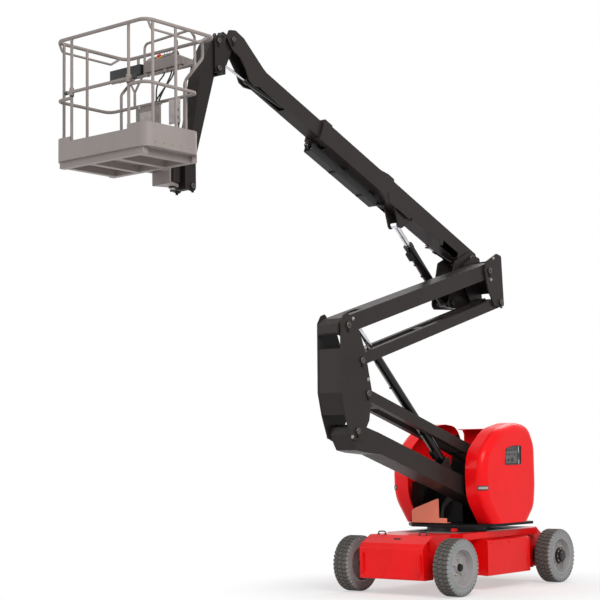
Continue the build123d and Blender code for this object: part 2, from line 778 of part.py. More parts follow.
# ----------------------------------------------------- boom, jib, platform
HEAD_PIN = on_boom(4400, 117)
JIB_PIN = (3800.0, 5460.0)
JIB_TIE_STEP = (0.0, -270.0)
SLAVE_FOOT = on_boom(3400, -40)
slave_head = shifted(HEAD_PIN, (90, -240))
jib_tie_pin = shifted(JIB_PIN, JIB_TIE_STEP)
carrier_pin = polar(JIB_PIN, JIB_ELEVATION, JIB_LENGTH)
carrier_tie = shifted(carrier_pin, JIB_TIE_STEP)
ROTATOR_X = carrier_pin[0] + 165.0
ROTATOR_Z = (carrier_pin[1] + carrier_tie[1]) / 2
EAR_GAP = 85.0


def tube(points, radius, bend=0.0, closed=False):
    """Round tube along a path of straight runs with rounded bends."""
    if bend:
        path = FilletPolyline(*points, radius=bend, close=closed)
    else:
        path = Polyline(*points, close=closed)
    start = Plane(origin=path @ 0, z_dir=path % 0)
    return sweep(start * Circle(radius), path=path)


def boom_outer():
    """Outer boom tube with its collar, top saddle and cylinder brackets."""
    half, depth, wall = BOOM_HALF_WIDTH, BOOM_HALF_DEPTH, BOOM_WALL
    side = [
        (-150, -depth + 30),
        (-150, depth - 50),
        (-95, depth),
        (BOOM_LENGTH - 60, depth),
        (BOOM_LENGTH - 60, -depth),
        (-110, -depth),
    ]
    boom = slab(side, -half, half, 8)
    boom = boom + block(BOOM_LENGTH - 130, BOOM_LENGTH, -half - 8, half + 8, -depth - 8, depth + 8)
    saddle = [
        (1560, depth - 2),
        (1590, depth + 52),
        (1700, depth + 52),
        (1860, depth + 20),
        (1870, depth - 2),
    ]
    boom = boom + slab(saddle, -70, 70, 4)
    gusset = [(1150, -40), (1680, -40), (1610, -depth - 36), (1220, -depth - 36)]
    boom = boom + slab(gusset, half - 1, half + 6, 14) + slab(gusset, -half - 6, 1 - half, 14)
    boom = boom + lug_pair(LIFT_HEAD[0], LIFT_HEAD[1], 2 - depth, 62, 15, 44, 170)
    ear = hull_plate([(LEVEL_HEAD[0], LEVEL_HEAD[1], 22), (740, 2 - depth, 6), (838, 2 - depth, 6)], 94, 99)
    boom = boom + ear
    boom = boom - block(-110, BOOM_LENGTH - 120, wall - half, half - wall, wall - depth, depth - wall)
    gap = 5.5
    boom = boom - block(
        BOOM_LENGTH - 131,
        BOOM_LENGTH + 1,
        -INNER_HALF_WIDTH - gap,
        INNER_HALF_WIDTH + gap,
        -INNER_HALF_DEPTH - gap,
        INNER_HALF_DEPTH + gap,
    )
    # Room for the levelling cylinder's foot and for the jib's levelling cylinder
    boom = boom - block(230, 540, 50, half + 1, -depth - 1, -48)
    boom = boom - block(BOOM_LENGTH - 190, BOOM_LENGTH + 1, -38, 38, -depth - 9, -INNER_HALF_DEPTH)
    boom = boom + sleeve(0, 0, half, 46)
    boom = boom - pin_bore(0, 0, half)
    return along(boom_pin, BOOM_ELEVATION, boom, BOOM_Y)


def hose_tray():
    """Open channel under the far half of the boom for its hoses."""
    top = -BOOM_HALF_DEPTH - 36
    tray = block(1700, BOOM_LENGTH - 20, -96, -2, -232, top)
    tray = tray - block(1695, BOOM_LENGTH - 15, -91, -7, -227, top + 1)
    for x in (1720, 2260, BOOM_LENGTH - 90):
        z_high = -BOOM_HALF_DEPTH if x < 2700 else -BOOM_HALF_DEPTH - 8
        tray = tray + block(x, x + 40, -96, -2, top - 6, z_high)
    return along(boom_pin, BOOM_ELEVATION, tray, BOOM_Y)


def boom_inner():
    """Sliding boom with the cranked fork that carries the jib's base."""
    half, depth = INNER_HALF_WIDTH, INNER_HALF_DEPTH
    boom = block(INNER_START, 3960, -half, half, -depth, depth)
    boom = boom - block(INNER_START - 1, 3961, 6 - half, half - 6, 6 - depth, depth - 6)
    boom = boom - block(3440, 3961, -44, 44, -depth - 1, 7 - depth)
    crank = [
        (3850, -depth),
        (3850, depth),
        (3910, 100),
        (4270, 222),
        (4400, 226),
        (4478, 180),
        (4484, 90),
        (4380, 30),
        (4240, 20),
        (4120, -50),
        (4040, -122),
        (3960, -128),
    ]
    boom = boom + slab(crank, half - 15, half, 18) + slab(crank, -half, 15 - half, 18)
    hood_web = [(3900, 84), (3914, 98), (4268, 218), (4330, 222), (4330, 210), (4272, 206), (3920, 86)]
    boom = boom + slab(hood_web, 14 - half, half - 14)
    boom = boom + bar_y((4400, 117), -half - 8, half + 8, PIN_RADIUS)
    boom = boom + bar_y((3400, -40), 5 - half, half - 5, 14)
    return along(boom_pin, BOOM_ELEVATION, boom, BOOM_Y)


def ear_pair(x, z_list, x_root, z_low, z_high):
    """Outer ears of a jib end, from a cross web to its two pins."""
    pair = None
    for y_low in (-EAR_GAP - PLATE, EAR_GAP):
        circles = [(x, z, 50) for z in z_list]
        circles = circles + [(x_root, z_low + 12, 6), (x_root, z_high - 12, 6)]
        ear = hull_plate(circles, y_low, y_low + PLATE)
        pair = ear if pair is None else pair + ear
    for z in z_list:
        pair = pair + bar_y((x, z), -EAR_GAP - PLATE - 6, EAR_GAP + PLATE + 6, JIB_PIN_RADIUS)
    return pair


def jib_base():
    """Levelled link between the boom's fork and the jib."""
    x = JIB_PIN[0]
    z_high = JIB_PIN[1] + 50
    z_low = jib_tie_pin[1] - 45
    body = ear_pair(x, (JIB_PIN[1], jib_tie_pin[1]), x - 86, z_low, z_high)
    body = body + block(x - 96, x - 81, -EAR_GAP - PLATE, EAR_GAP + PLATE, z_low, z_high)
    hx, hz = HEAD_PIN
    circles = [
        (hx, hz, 52),
        (slave_head[0], slave_head[1], 32),
        (x - 88, z_low + 60, 5),
        (x - 88, z_high - 14, 5),
    ]
    for y_low in (-50, 38):
        body = body + hull_plate(circles, y_low, y_low + 12)
    body = body + bar_y(HEAD_PIN, -54, 54, 46)
    body = body - bar_y(HEAD_PIN, -60, 60, PIN_RADIUS + PIN_CLEARANCE)
    return Pos(0, BOOM_Y, 0) * body


def jib_arm():
    """Tapered box arm of the jib."""
    end = JIB_LENGTH
    half = EAR_GAP - 6
    side = [
        (-48, -38),
        (-48, 38),
        (60, 74),
        (250, 112),
        (430, 108),
        (900, 52),
        (end + 48, 38),
        (end + 48, -34),
        (end, -39),
        (0, -39),
    ]
    arm = slab(side, -half, half, 6)
    room = [(80, -34), (80, 68), (250, 102), (430, 98), (900, 44), (end - 90, 36), (end - 90, -34)]
    arm = arm - slab(room, 7 - half, half - 7)
    for x in (0, end):
        arm = arm - pin_bore(x, 0, half, JIB_PIN_RADIUS)
    return along(JIB_PIN, JIB_ELEVATION, arm, BOOM_Y)


def jib_tie():
    end = JIB_LENGTH
    bar = slab([(0, -22), (0, 22), (end, 22), (end, -22)], -38, 38)
    for x in (0, end):
        bar = bar + sleeve(x, 0, EAR_GAP - 6, 34)
    for x in (0, end):
        bar = bar - pin_bore(x, 0, EAR_GAP, JIB_PIN_RADIUS)
    return along(jib_tie_pin, JIB_ELEVATION, bar, BOOM_Y)


def carrier():
    """Link at the jib's lower end, with the platform's turning actuator."""
    x = carrier_pin[0]
    z_high = carrier_pin[1] + 42
    z_low = carrier_tie[1] - 42
    body = ear_pair(x, (carrier_pin[1], carrier_tie[1]), x + 86, z_low, z_high)
    body = body + block(x + 81, x + 94, -EAR_GAP - PLATE, EAR_GAP + PLATE, z_low, z_high)
    body = Pos(0, BOOM_Y, 0) * body
    body = body + bar_z(ROTATOR_X, BOOM_Y, ROTATOR_Z - 120, ROTATOR_Z + 120, 78)
    body = body + bar_z(ROTATOR_X, BOOM_Y, ROTATOR_Z - 165, ROTATOR_Z + 165, 34)
    return body


BASKET_BACK = 4345.0
FLOOR_BACK = 4560.0
FLOOR_Z = 4165.0
FLOOR_RAIL_BACK = 4585.0
TOP_RAIL_Z = FLOOR_Z + BASKET_HEIGHT + 30.0
MID_RAIL_Z = FLOOR_Z + 560.0
RAIL_RADIUS = 17.0
ENTRY_HALF = 370.0
POST_RADIUS = 14.0
BOARD_HEIGHT = 205.0
ENTRY_BOARD_HEIGHT = 165.0
CONSOLE_Y = 22.0
TREAD_THICKNESS = 3.0
TREAD_BACK = FLOOR_RAIL_BACK + 27.0
TREAD_FRONT = BASKET_BACK + BASKET_LENGTH - 53.0
TREAD_HALF = BASKET_WIDTH / 2 - 52.0
TREAD_CORNERS = [
    (TREAD_BACK, BOOM_Y - TREAD_HALF),
    (TREAD_BACK, BOOM_Y + TREAD_HALF),
    (TREAD_FRONT, BOOM_Y + TREAD_HALF),
    (TREAD_FRONT, BOOM_Y - TREAD_HALF),
]


def basket_floor():
    """Platform floor with toe boards, its underside frame and the bracket to the actuator."""
    front = BASKET_BACK + BASKET_LENGTH
    half = BASKET_WIDTH / 2
    y_low, y_high = BOOM_Y - half, BOOM_Y + half
    plan = [(FLOOR_BACK, y_low), (FLOOR_BACK, y_high), (front, y_high), (front, y_low)]
    floor = deck_slab(plan, FLOOR_Z - 6, FLOOR_Z + BOARD_HEIGHT, 120)
    inner = [
        (FLOOR_BACK + 5, y_low + 5),
        (FLOOR_BACK + 5, y_high - 5),
        (front - 5, y_high - 5),
        (front - 5, y_low + 5),
    ]
    floor = floor - deck_slab(inner, FLOOR_Z, FLOOR_Z + BOARD_HEIGHT + 1, 115)
    # Lower board at the entry
    entry = (BOOM_Y - ENTRY_HALF, BOOM_Y + ENTRY_HALF)
    gap_low = FLOOR_Z + ENTRY_BOARD_HEIGHT
    floor = floor - block(front - 20, front + 1, *entry, gap_low, FLOOR_Z + BOARD_HEIGHT + 1)
    for y in (y_low + 90, BOOM_Y - 200, BOOM_Y + 140, y_high - 150):
        floor = floor + block(FLOOR_BACK + 10, front - 30, y, y + 60, FLOOR_Z - 66, FLOOR_Z - 5)
    for x in (FLOOR_BACK + 10, front - 90):
        floor = floor + block(x, x + 60, y_low + 60, y_high - 60, FLOOR_Z - 66, FLOOR_Z - 5)
    # Clevis round the turning actuator
    for z in (ROTATOR_Z - 150, ROTATOR_Z + 126):
        plate = [
            (ROTATOR_X, BOOM_Y - 60),
            (ROTATOR_X, BOOM_Y + 60),
            (FLOOR_BACK - 70, BOOM_Y + 110),
            (FLOOR_BACK - 70, BOOM_Y - 110),
        ]
        floor = floor + deck_slab(plate, z, z + 22)
        floor = floor + bar_z(ROTATOR_X, BOOM_Y, z, z + 22, 60)
    z_low = ROTATOR_Z - 150
    z_high = ROTATOR_Z + 148
    floor = floor + block(FLOOR_BACK - 95, FLOOR_BACK - 70, BOOM_Y - 110, BOOM_Y + 110, z_low, z_high)
    for y in (BOOM_Y - 105, BOOM_Y + 65):
        floor = floor + block(FLOOR_BACK - 72, FLOOR_BACK + 20, y, y + 40, FLOOR_Z - 66, FLOOR_Z - 6)
    # Tread plate inside the posts
    floor = floor + deck_slab(TREAD_CORNERS, FLOOR_Z - 1, FLOOR_Z + TREAD_THICKNESS, 20)
    bore = bar_z(ROTATOR_X, BOOM_Y, ROTATOR_Z - 170, ROTATOR_Z + 170, 34 + PIN_CLEARANCE)
    return floor - bore


def rail_sector(section, x_back, x_front, y_low, y_high, tube_loop):
    """Part of a rail loop on one side, parted from its neighbours at the corners."""
    reach, deep = 60, 240
    corners = {
        "rear": ((x_back, y_low), (x_back, y_high), 1, 1),
        "front": ((x_front, y_low), (x_front, y_high), -1, 1),
        "left": ((x_back, y_high), (x_front, y_high), 1, -1),
        "right": ((x_back, y_low), (x_front, y_low), 1, 1),
    }
    if section in ("rear", "front"):
        (x, _), _, inward, _ = corners[section]
        area = [
            (x - inward * reach, y_low - reach),
            (x - inward * reach, y_high + reach),
            (x + inward * deep, y_high - deep),
            (x + inward * deep, y_low + deep),
        ]
    else:
        (_, y), _, _, inward = corners[section]
        area = [
            (x_back - reach, y - inward * reach),
            (x_front + reach, y - inward * reach),
            (x_front - deep, y + inward * deep),
            (x_back + deep, y + inward * deep),
        ]
    return tube_loop & deck_slab(area, FLOOR_Z, TOP_RAIL_Z + 200)


def rails(section):
    """Guard rail of one side: its share of the top loop and mid rail, and its posts."""
    front = BASKET_BACK + BASKET_LENGTH
    half = BASKET_WIDTH / 2 - RAIL_RADIUS
    y_low, y_high = BOOM_Y - half, BOOM_Y + half
    back = BASKET_BACK + RAIL_RADIUS
    nose = front - RAIL_RADIUS - 6
    side_post_x = nose - 90
    top = TOP_RAIL_Z - RAIL_RADIUS
    foot = FLOOR_Z + 1
    loop = [(nose, y_low, top), (nose, y_high, top), (back, y_high, top), (back, y_low, top)]
    whole = rail_sector(section, back, nose, y_low, y_high, tube(loop, RAIL_RADIUS, 90, True))
    y_low, y_high = y_low + 6, y_high - 6
    mid = [
        (nose, BOOM_Y - ENTRY_HALF, MID_RAIL_Z),
        (nose, y_low, MID_RAIL_Z),
        (FLOOR_RAIL_BACK, y_low, MID_RAIL_Z),
        (FLOOR_RAIL_BACK, y_high, MID_RAIL_Z),
        (nose, y_high, MID_RAIL_Z),
        (nose, BOOM_Y + ENTRY_HALF, MID_RAIL_Z),
    ]
    mid_rail = tube(mid, RAIL_RADIUS - 1.5, 80)
    whole = whole + rail_sector(section, FLOOR_RAIL_BACK, nose, y_low, y_high, mid_rail)
    if section == "front":
        for y in (BOOM_Y - ENTRY_HALF, BOOM_Y + ENTRY_HALF):
            whole = whole + bar_z(nose, y, foot, top, POST_RADIUS)
        return whole
    if section == "rear":
        for y in (BOOM_Y - 420, BOOM_Y + 420):
            post = [
                (FLOOR_RAIL_BACK, y, foot),
                (FLOOR_RAIL_BACK, y, MID_RAIL_Z + 150),
                (back, y, top - 160),
                (back, y, top),
            ]
            whole = whole + tube(post, POST_RADIUS, 60)
        return whole + console_stand()
    y = y_high if section == "left" else y_low
    for x in (side_post_x, 4870):
        whole = whole + bar_z(x, y, foot, top, POST_RADIUS)
    # Hand rail under the top rail, turned up into it at both ends
    grip = [
        (side_post_x + 60, y, top),
        (side_post_x + 20, y, top - 82),
        (4570, y, top - 82),
        (4440, y, top),
    ]
    return whole + tube(grip, 11, 40)


def console_stand():
    """Hoop round the console, the arm that carries it, and their legs."""
    x = FLOOR_RAIL_BACK
    arm_z = TOP_RAIL_Z - 288
    hoop = [
        (x, CONSOLE_Y - 262, arm_z),
        (x, CONSOLE_Y - 262, arm_z + 295),
        (x, CONSOLE_Y + 323, arm_z + 318),
        (x, CONSOLE_Y + 380, arm_z + 243),
        (x, CONSOLE_Y + 380, arm_z - 27),
        (x, CONSOLE_Y + 247, arm_z - 156),
        (x, CONSOLE_Y + 238, FLOOR_Z + 1),
    ]
    stand = tube(hoop, 12, 50)
    stand = stand + bar_y((x, arm_z), CONSOLE_Y - 700, CONSOLE_Y + 388, 14)
    fork_y, fork_z = CONSOLE_Y - 395, arm_z - 145
    stand = stand + bar_z(x, fork_y, MID_RAIL_Z + 2, fork_z + 30, 13)
    # Y at the foot and at the head of each prong, then its radius
    for y_foot, y_head, radius in ((fork_y - 3, CONSOLE_Y - 480, 10), (fork_y + 3, CONSOLE_Y - 290, 10.5)):
        stand = stand + tube([(x, y_foot, fork_z + 8), (x, y_head, arm_z)], radius)
    return stand


def console():
    """Control box on its arm at the platform's rear, with the open tray beside it."""
    x = FLOOR_RAIL_BACK
    low = TOP_RAIL_Z - 274
    side = [
        (x - 115, low),
        (x - 115, low + 150),
        (x - 45, low + 162),
        (x + 30, low + 95),
        (x + 30, low),
    ]
    face = [
        (CONSOLE_Y - 244, low - 1),
        (CONSOLE_Y - 238, low + 150),
        (CONSOLE_Y + 55, low + 154),
        (CONSOLE_Y + 250, low + 64),
        (CONSOLE_Y + 254, low - 1),
    ]
    box = slab(side, CONSOLE_Y - 260, CONSOLE_Y + 260, 6) & cross_slab(face, x - 120, x + 40)
    tray = block(x - 90, x + 30, CONSOLE_Y - 700, CONSOLE_Y - 290, low, low + 95)
    tray = tray - block(x - 85, x + 25, CONSOLE_Y - 695, CONSOLE_Y - 295, low + 5, low + 96)
    return box + tray


def entry_bar():
    """Bar across the platform's entry, sliding up on the front posts."""
    x = BASKET_BACK + BASKET_LENGTH - RAIL_RADIUS - 6
    z = MID_RAIL_Z + 55
    bar = bar_y((x, z), BOOM_Y - ENTRY_HALF - 90, BOOM_Y + ENTRY_HALF + 90, 15)
    for y in (BOOM_Y - ENTRY_HALF, BOOM_Y + ENTRY_HALF):
        bar = bar + bar_z(x, y, z - 35, z + 35, 22)
        bar = bar - bar_z(x, y, z - 36, z + 36, POST_RADIUS + 1.5)
    return bar


def front_panel():
    """Sloping sheet panel between the hoods at the turret's front."""
    face = [
        (-340, 716),
        (-340, 850),
        (-285, 880),
        (-40, 965),
        (25, 985),
        (25, 770),
        (130, 770),
        (130, 716),
    ]
    panel = cross_slab(face, 372, 378, 10)
    shelf = block(300, 373, -330, 130, 716, 722)
    return panel + shelf


def bridge_panel():
    """Cover over the turret's tail between the hoods."""
    side = [
        (-735, 1402),
        (-735, 1700),
        (-700, 1745),
        (-610, 1752),
        (-610, 1744),
        (-696, 1738),
        (-727, 1696),
        (-727, 1402),
    ]
    return slab(side, -358, 358)


keep("boom_outer", boom_outer())
keep("hose_tray", hose_tray())
keep("boom_inner", boom_inner())
set_cylinder("jib_levelling_cylinder", SLAVE_FOOT, slave_head, BOOM_Y, (640, 26, 20, 13, 20, 28, 247, 14))
keep("jib_base", jib_base())
keep("jib_arm", jib_arm())
keep("jib_tie", jib_tie())
keep("carrier", carrier())
keep("basket_floor", basket_floor())
for section in ("left", "right", "rear", "front"):
    keep(f"rail_{section}", rails(section))
keep("console", console())
keep("entry_bar", entry_bar())
keep("front_panel", front_panel())
keep("bridge_panel", bridge_panel())

for name, solid in nodes.items():
    export_step(solid, f"parts/{name}.step")
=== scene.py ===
"""Articulating boom lift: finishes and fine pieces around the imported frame, laid out as an add-on."""

import json
import math

import bmesh
import bpy
from mathutils import Matrix, Vector


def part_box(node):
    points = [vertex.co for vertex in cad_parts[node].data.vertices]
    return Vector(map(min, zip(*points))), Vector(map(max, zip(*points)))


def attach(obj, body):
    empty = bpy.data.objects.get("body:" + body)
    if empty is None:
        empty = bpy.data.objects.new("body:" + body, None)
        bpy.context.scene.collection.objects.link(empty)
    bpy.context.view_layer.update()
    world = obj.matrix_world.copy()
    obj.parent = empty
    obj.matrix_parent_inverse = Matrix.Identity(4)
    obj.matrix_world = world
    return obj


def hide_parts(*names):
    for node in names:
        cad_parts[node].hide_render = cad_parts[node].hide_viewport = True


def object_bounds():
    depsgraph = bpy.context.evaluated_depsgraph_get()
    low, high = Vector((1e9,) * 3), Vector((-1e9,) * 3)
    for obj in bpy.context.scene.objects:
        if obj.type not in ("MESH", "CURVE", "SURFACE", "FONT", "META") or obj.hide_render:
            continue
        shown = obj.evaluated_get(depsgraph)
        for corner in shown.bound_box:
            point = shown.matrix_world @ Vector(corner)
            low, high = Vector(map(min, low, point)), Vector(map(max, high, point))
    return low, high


bl_info = {
    "name": "Articulating boom lift",
    "version": (1, 0, 0),
    "blender": (4, 5, 0),
    "location": "View3D > Sidebar > Boom lift",
    "description": "Finishes, tyres, trim and studio of an articulating boom lift on its CAD frame",
    "category": "Object",
}

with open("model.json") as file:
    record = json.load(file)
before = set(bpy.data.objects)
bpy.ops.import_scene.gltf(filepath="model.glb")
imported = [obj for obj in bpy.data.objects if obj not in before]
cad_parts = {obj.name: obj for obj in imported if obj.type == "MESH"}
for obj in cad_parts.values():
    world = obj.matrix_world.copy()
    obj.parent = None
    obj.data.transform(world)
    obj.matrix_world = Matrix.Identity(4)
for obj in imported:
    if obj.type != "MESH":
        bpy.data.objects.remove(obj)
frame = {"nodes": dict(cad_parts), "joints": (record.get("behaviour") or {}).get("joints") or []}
CAD_LOW, CAD_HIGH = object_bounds()
JOINTS = {joint["name"]: joint for joint in frame["joints"]}
TAU = 2 * math.pi
X, Y, Z = (Vector(axis) for axis in ((1, 0, 0), (0, 1, 0), (0, 0, 1)))
SIDES = (("left", 1), ("right", -1))
WHITE = (1.0, 1.0, 1.0, 1.0)


# ---- shader maths


class Field:
    """A value or colour that varies over a surface; arithmetic on it adds Math nodes."""

    def __init__(self, graph, socket):
        self.graph = graph
        self.socket = socket

    def maths(operation):
        """A method that applies one operation to the field and what follows it."""
        return lambda self, *others: self.math(operation, self, *others)

    def math(self, operation, *values):
        return self.graph.node("ShaderNodeMath", {"operation": operation}, dict(enumerate(values)))

    __add__ = __radd__ = maths("ADD")
    __mul__ = __rmul__ = maths("MULTIPLY")
    __sub__ = maths("SUBTRACT")
    __pow__ = maths("POWER")
    __abs__ = maths("ABSOLUTE")
    # The larger of two values
    __or__ = maths("MAXIMUM")

    def __rsub__(self, other):
        return self.math("SUBTRACT", other, self)

    def rise(self, low, high):
        """0 below low and 1 above high, with a smooth step between; high below low turns it round."""
        settings = {"interpolation_type": "SMOOTHSTEP", "clamp": True}
        sockets = {"Value": self, "From Min": low, "From Max": high}
        return self.graph.node("ShaderNodeMapRange", settings, sockets)


class Graph:
    """A node tree in which every node comes from node()."""

    def __init__(self, tree):
        self.tree = tree

    def node(self, kind, settings=None, inputs=None, output=0):
        """Adds a node with its settings and its sockets' values or links; returns one output as a Field."""
        made = self.tree.nodes.new(kind)
        for key, value in (settings or {}).items():
            setattr(made, key, value)
        for key, value in (inputs or {}).items():
            if isinstance(value, Field):
                self.tree.links.new(value.socket, made.inputs[key])
            else:
                made.inputs[key].default_value = value
        return Field(self, made.outputs[output]) if made.outputs else None

    def normal(self):
        """The surface's normal."""
        return self.node("ShaderNodeNewGeometry", output="Normal")

    def bevelled(self, radius):
        """The normal with edges rounded by a radius."""
        return self.node("ShaderNodeBevel", {"samples": 6}, {"Radius": radius})

    def seen(self):
        """1 for what the camera sees, also in gloss or through clear parts; 0 for light on the object."""
        rays = ("Is Camera Ray", "Is Glossy Ray", "Is Transmission Ray")
        straight, gloss, clear = (self.node("ShaderNodeLightPath", output=ray) for ray in rays)
        return straight | gloss | clear


class Recipe(Graph):
    """One material with its Principled shader."""

    def __init__(self, name, **constants):
        self.material = bpy.data.materials.new(f"boomlift_{name}")
        self.material.use_nodes = True
        super().__init__(self.material.node_tree)
        self.shader = self.tree.nodes["Principled BSDF"]
        for socket, value in constants.items():
            self.shader.inputs[socket.replace("_", " ")].default_value = value

    def place(self):
        """Position in the row frame, in metres."""
        return self.node("ShaderNodeTexCoord", output="Object")

    def axes(self, vector=None):
        """The three coordinates of a vector, or of the position, each as a Field."""
        split = self.node("ShaderNodeSeparateXYZ", inputs={"Vector": vector or self.place()})
        return [Field(self, split.socket.node.outputs[axis]) for axis in "XYZ"]

    def noise(self, scale, detail=3.0, rough=0.55, stretch=None):
        """Fractal noise; scale is in cells a metre, stretch scales the three axes."""
        vector = self.place()
        if stretch:
            vector = self.node("ShaderNodeVectorMath", {"operation": "MULTIPLY"}, {0: vector, 1: stretch})
        sockets = {"Vector": vector, "Scale": scale, "Detail": detail, "Roughness": rough}
        return self.node("ShaderNodeTexNoise", {}, sockets)

    def cells(self, scale):
        """Distance to the nearest point of a random scatter."""
        return self.node("ShaderNodeTexVoronoi", {}, {"Vector": self.place(), "Scale": scale})

    def mix(self, factor, first, second):
        """Blends two colours."""
        sockets = {0: factor, 6: first, 7: second}
        return self.node("ShaderNodeMix", {"data_type": "RGBA"}, sockets, output=2)

    def edge(self, radius):
        """1 on edges and corners, 0 on flat faces, from the bevelled normal."""
        sockets = {0: self.bevelled(radius), 1: self.normal()}
        dot = self.node("ShaderNodeVectorMath", {"operation": "DOT_PRODUCT"}, sockets, output="Value")
        return (1 - dot).rise(0.01, 0.12)

    def link(self, socket, field):
        """Links a Field to one socket of the shader."""
        self.tree.links.new(field.socket, self.shader.inputs[socket])

    def finish(self, colour, roughness, height=None, distance=0.0, strength=1.0, radius=None):
        """Links the colour, the roughness and a height as bump, over edges rounded by the radius."""
        self.link("Base Color", colour)
        self.link("Roughness", roughness)
        if height:
            sockets = {"Height": height, "Distance": distance, "Strength": strength}
            if radius:
                sockets["Normal"] = self.bevelled(radius)
            self.link("Normal", self.node("ShaderNodeBump", {}, sockets))
        return self.material


def linear(red, green, blue):
    """A colour given in 0-255 display values, as the linear colour that shaders use."""
    channels = []
    for value in (red, green, blue):
        share = value / 255
        channels.append(share / 12.92 if share <= 0.04045 else ((share + 0.055) / 1.055) ** 2.4)
    return (*channels, 1.0)


def shade(colour, factor):
    """The same colour, lighter or darker."""
    return (*(min(1.0, channel * factor) for channel in colour[:3]), 1.0)


# ---- settings


def colour_setting(name, description, *display):
    """A colour picker whose default is given in 0-255 display values."""
    return bpy.props.FloatVectorProperty(
        name=name, description=description, default=linear(*display), subtype="COLOR", size=4, min=0, max=1
    )


def length_setting(name, description, default):
    """A length in metres."""
    return bpy.props.FloatProperty(name=name, description=description, default=default, unit="LENGTH", min=0)


class BoomliftColours(bpy.types.PropertyGroup):
    """Base colours of the machine's finishes."""

    hood_red: colour_setting("Hood red", "Moulded turret hoods", 244, 14, 20)
    chassis_red: colour_setting("Chassis red", "Chassis and side boxes", 232, 12, 14)
    panel_salmon: colour_setting("Panel", "Moulded cover ahead of the batteries", 240, 134, 104)
    boom_brown: colour_setting("Boom brown", "Arms, riser, booms and jib", 44, 39, 38)
    turret_black: colour_setting("Turret black", "Turntable, axles and cylinders", 22, 21, 22)
    deck_grey: colour_setting("Deck grey", "Grip coat on the chassis deck", 122, 118, 122)
    basket_grey: colour_setting("Basket grey", "Platform floor, rails and console", 136, 127, 124)
    tyre_grey: colour_setting("Tyre grey", "Sidewalls of the solid tyres", 146, 148, 149)
    tread_grey: colour_setting("Tread grey", "Tread of the solid tyres", 92, 88, 84)
    rim_grey: colour_setting("Rim grey", "Wheel discs", 160, 157, 157)
    hose_black: colour_setting("Hose black", "Hoses, cables and rubber", 24, 24, 25)
    steel: colour_setting("Steel", "Zinc-plated screws and pins", 176, 172, 164)


class BoomliftSizes(bpy.types.PropertyGroup):
    """Sizes of the fine pieces."""

    lug_count: bpy.props.IntProperty(
        name="Lugs", description="Tread lugs round each tyre", default=40, min=8, max=80
    )
    lug_height: length_setting("Lug height", "Depth of the tread grooves", 0.011)
    hose_radius: length_setting("Hose radius", "Radius of a hydraulic hose", 0.009)
    rounding: length_setting("Rounding", "Radius of the painted edges", 0.0035)


def sizes():
    return bpy.context.scene.boomlift_sizes


def tone(name, factor=1.0):
    """One of the colour settings, lighter or darker."""
    return shade(getattr(bpy.context.scene.boomlift_colours, name), factor)


def tones(name, low, high):
    """A colour setting at two factors."""
    return tone(name, low), tone(name, high)


# ---- finishes


# Colour setting and its factor, roughness, depth of the grain, dust, clear coat and cloudiness
SPRAYED = {
    "hood_red": ("hood_red", 1.0, 0.34, 0.0005, 0.02, 0.16, 0.05),
    "box_red": ("chassis_red", 1.0, 0.32, 0.0004, 0.03, 0.16, 0.06),
    "boom_brown": ("boom_brown", 1.0, 0.40, 0.00006, 0.02, 0.05, 0.09),
    "jib_black": ("boom_brown", 0.6, 0.36, 0.00006, 0.0, 0.08, 0.1),
    "turret_black": ("turret_black", 1.0, 0.42, 0.00008, 0.08, 0.05, 0.12),
    "cylinder_black": ("turret_black", 0.7, 0.22, 0.0001, 0.0, 0.4, 0.1),
}

# Display colour and roughness of the small moulded parts
PLASTICS = {
    "button_red": (200, 20, 18, 0.3),
    "button_yellow": (232, 178, 20, 0.35),
    "button_green": (36, 140, 60, 0.35),
    "case_grey": (122, 115, 112, 0.42),
    "pale_grey": (172, 165, 162, 0.4),
    "lamp_white": (222, 222, 216, 0.25),
}


def sprayed(name, setting, factor, roughness, grain_depth, dust, coat, cloudiness):
    """Sprayed paint: cloudy tone, orange peel, a painted highlight that lightens the rounded edges, dust low
    down.
    """
    recipe = Recipe(name, Coat_Roughness=0.06, Specular_IOR_Level=0.10)
    colour = tone(setting, factor)
    cloud = recipe.noise(2.4, 4.0)
    grain = recipe.noise(260.0, 2.0)
    smudge = recipe.noise(9.0, 5.0, 0.62)
    base = recipe.mix(cloud.rise(0.25, 0.75), shade(colour, 1 - cloudiness), shade(colour, 1 + cloudiness))
    # Painted highlight: the rounded edges are mixed towards a lighter copy of the colour
    base = recipe.mix(recipe.edge(0.005) * 0.35, base, shade(colour, 1.9))
    film = recipe.axes()[2].rise(0.75, 0.05) * smudge.rise(0.38, 0.8) * dust
    base = recipe.mix(film, base, linear(150, 142, 132))
    recipe.link("Coat Weight", coat - film * coat)
    sheen = roughness + (smudge - 0.5) * 0.14 + film * 0.3
    return recipe.finish(base, sheen, grain * 0.6 + cloud * 0.4, grain_depth, 0.6, sizes().rounding)


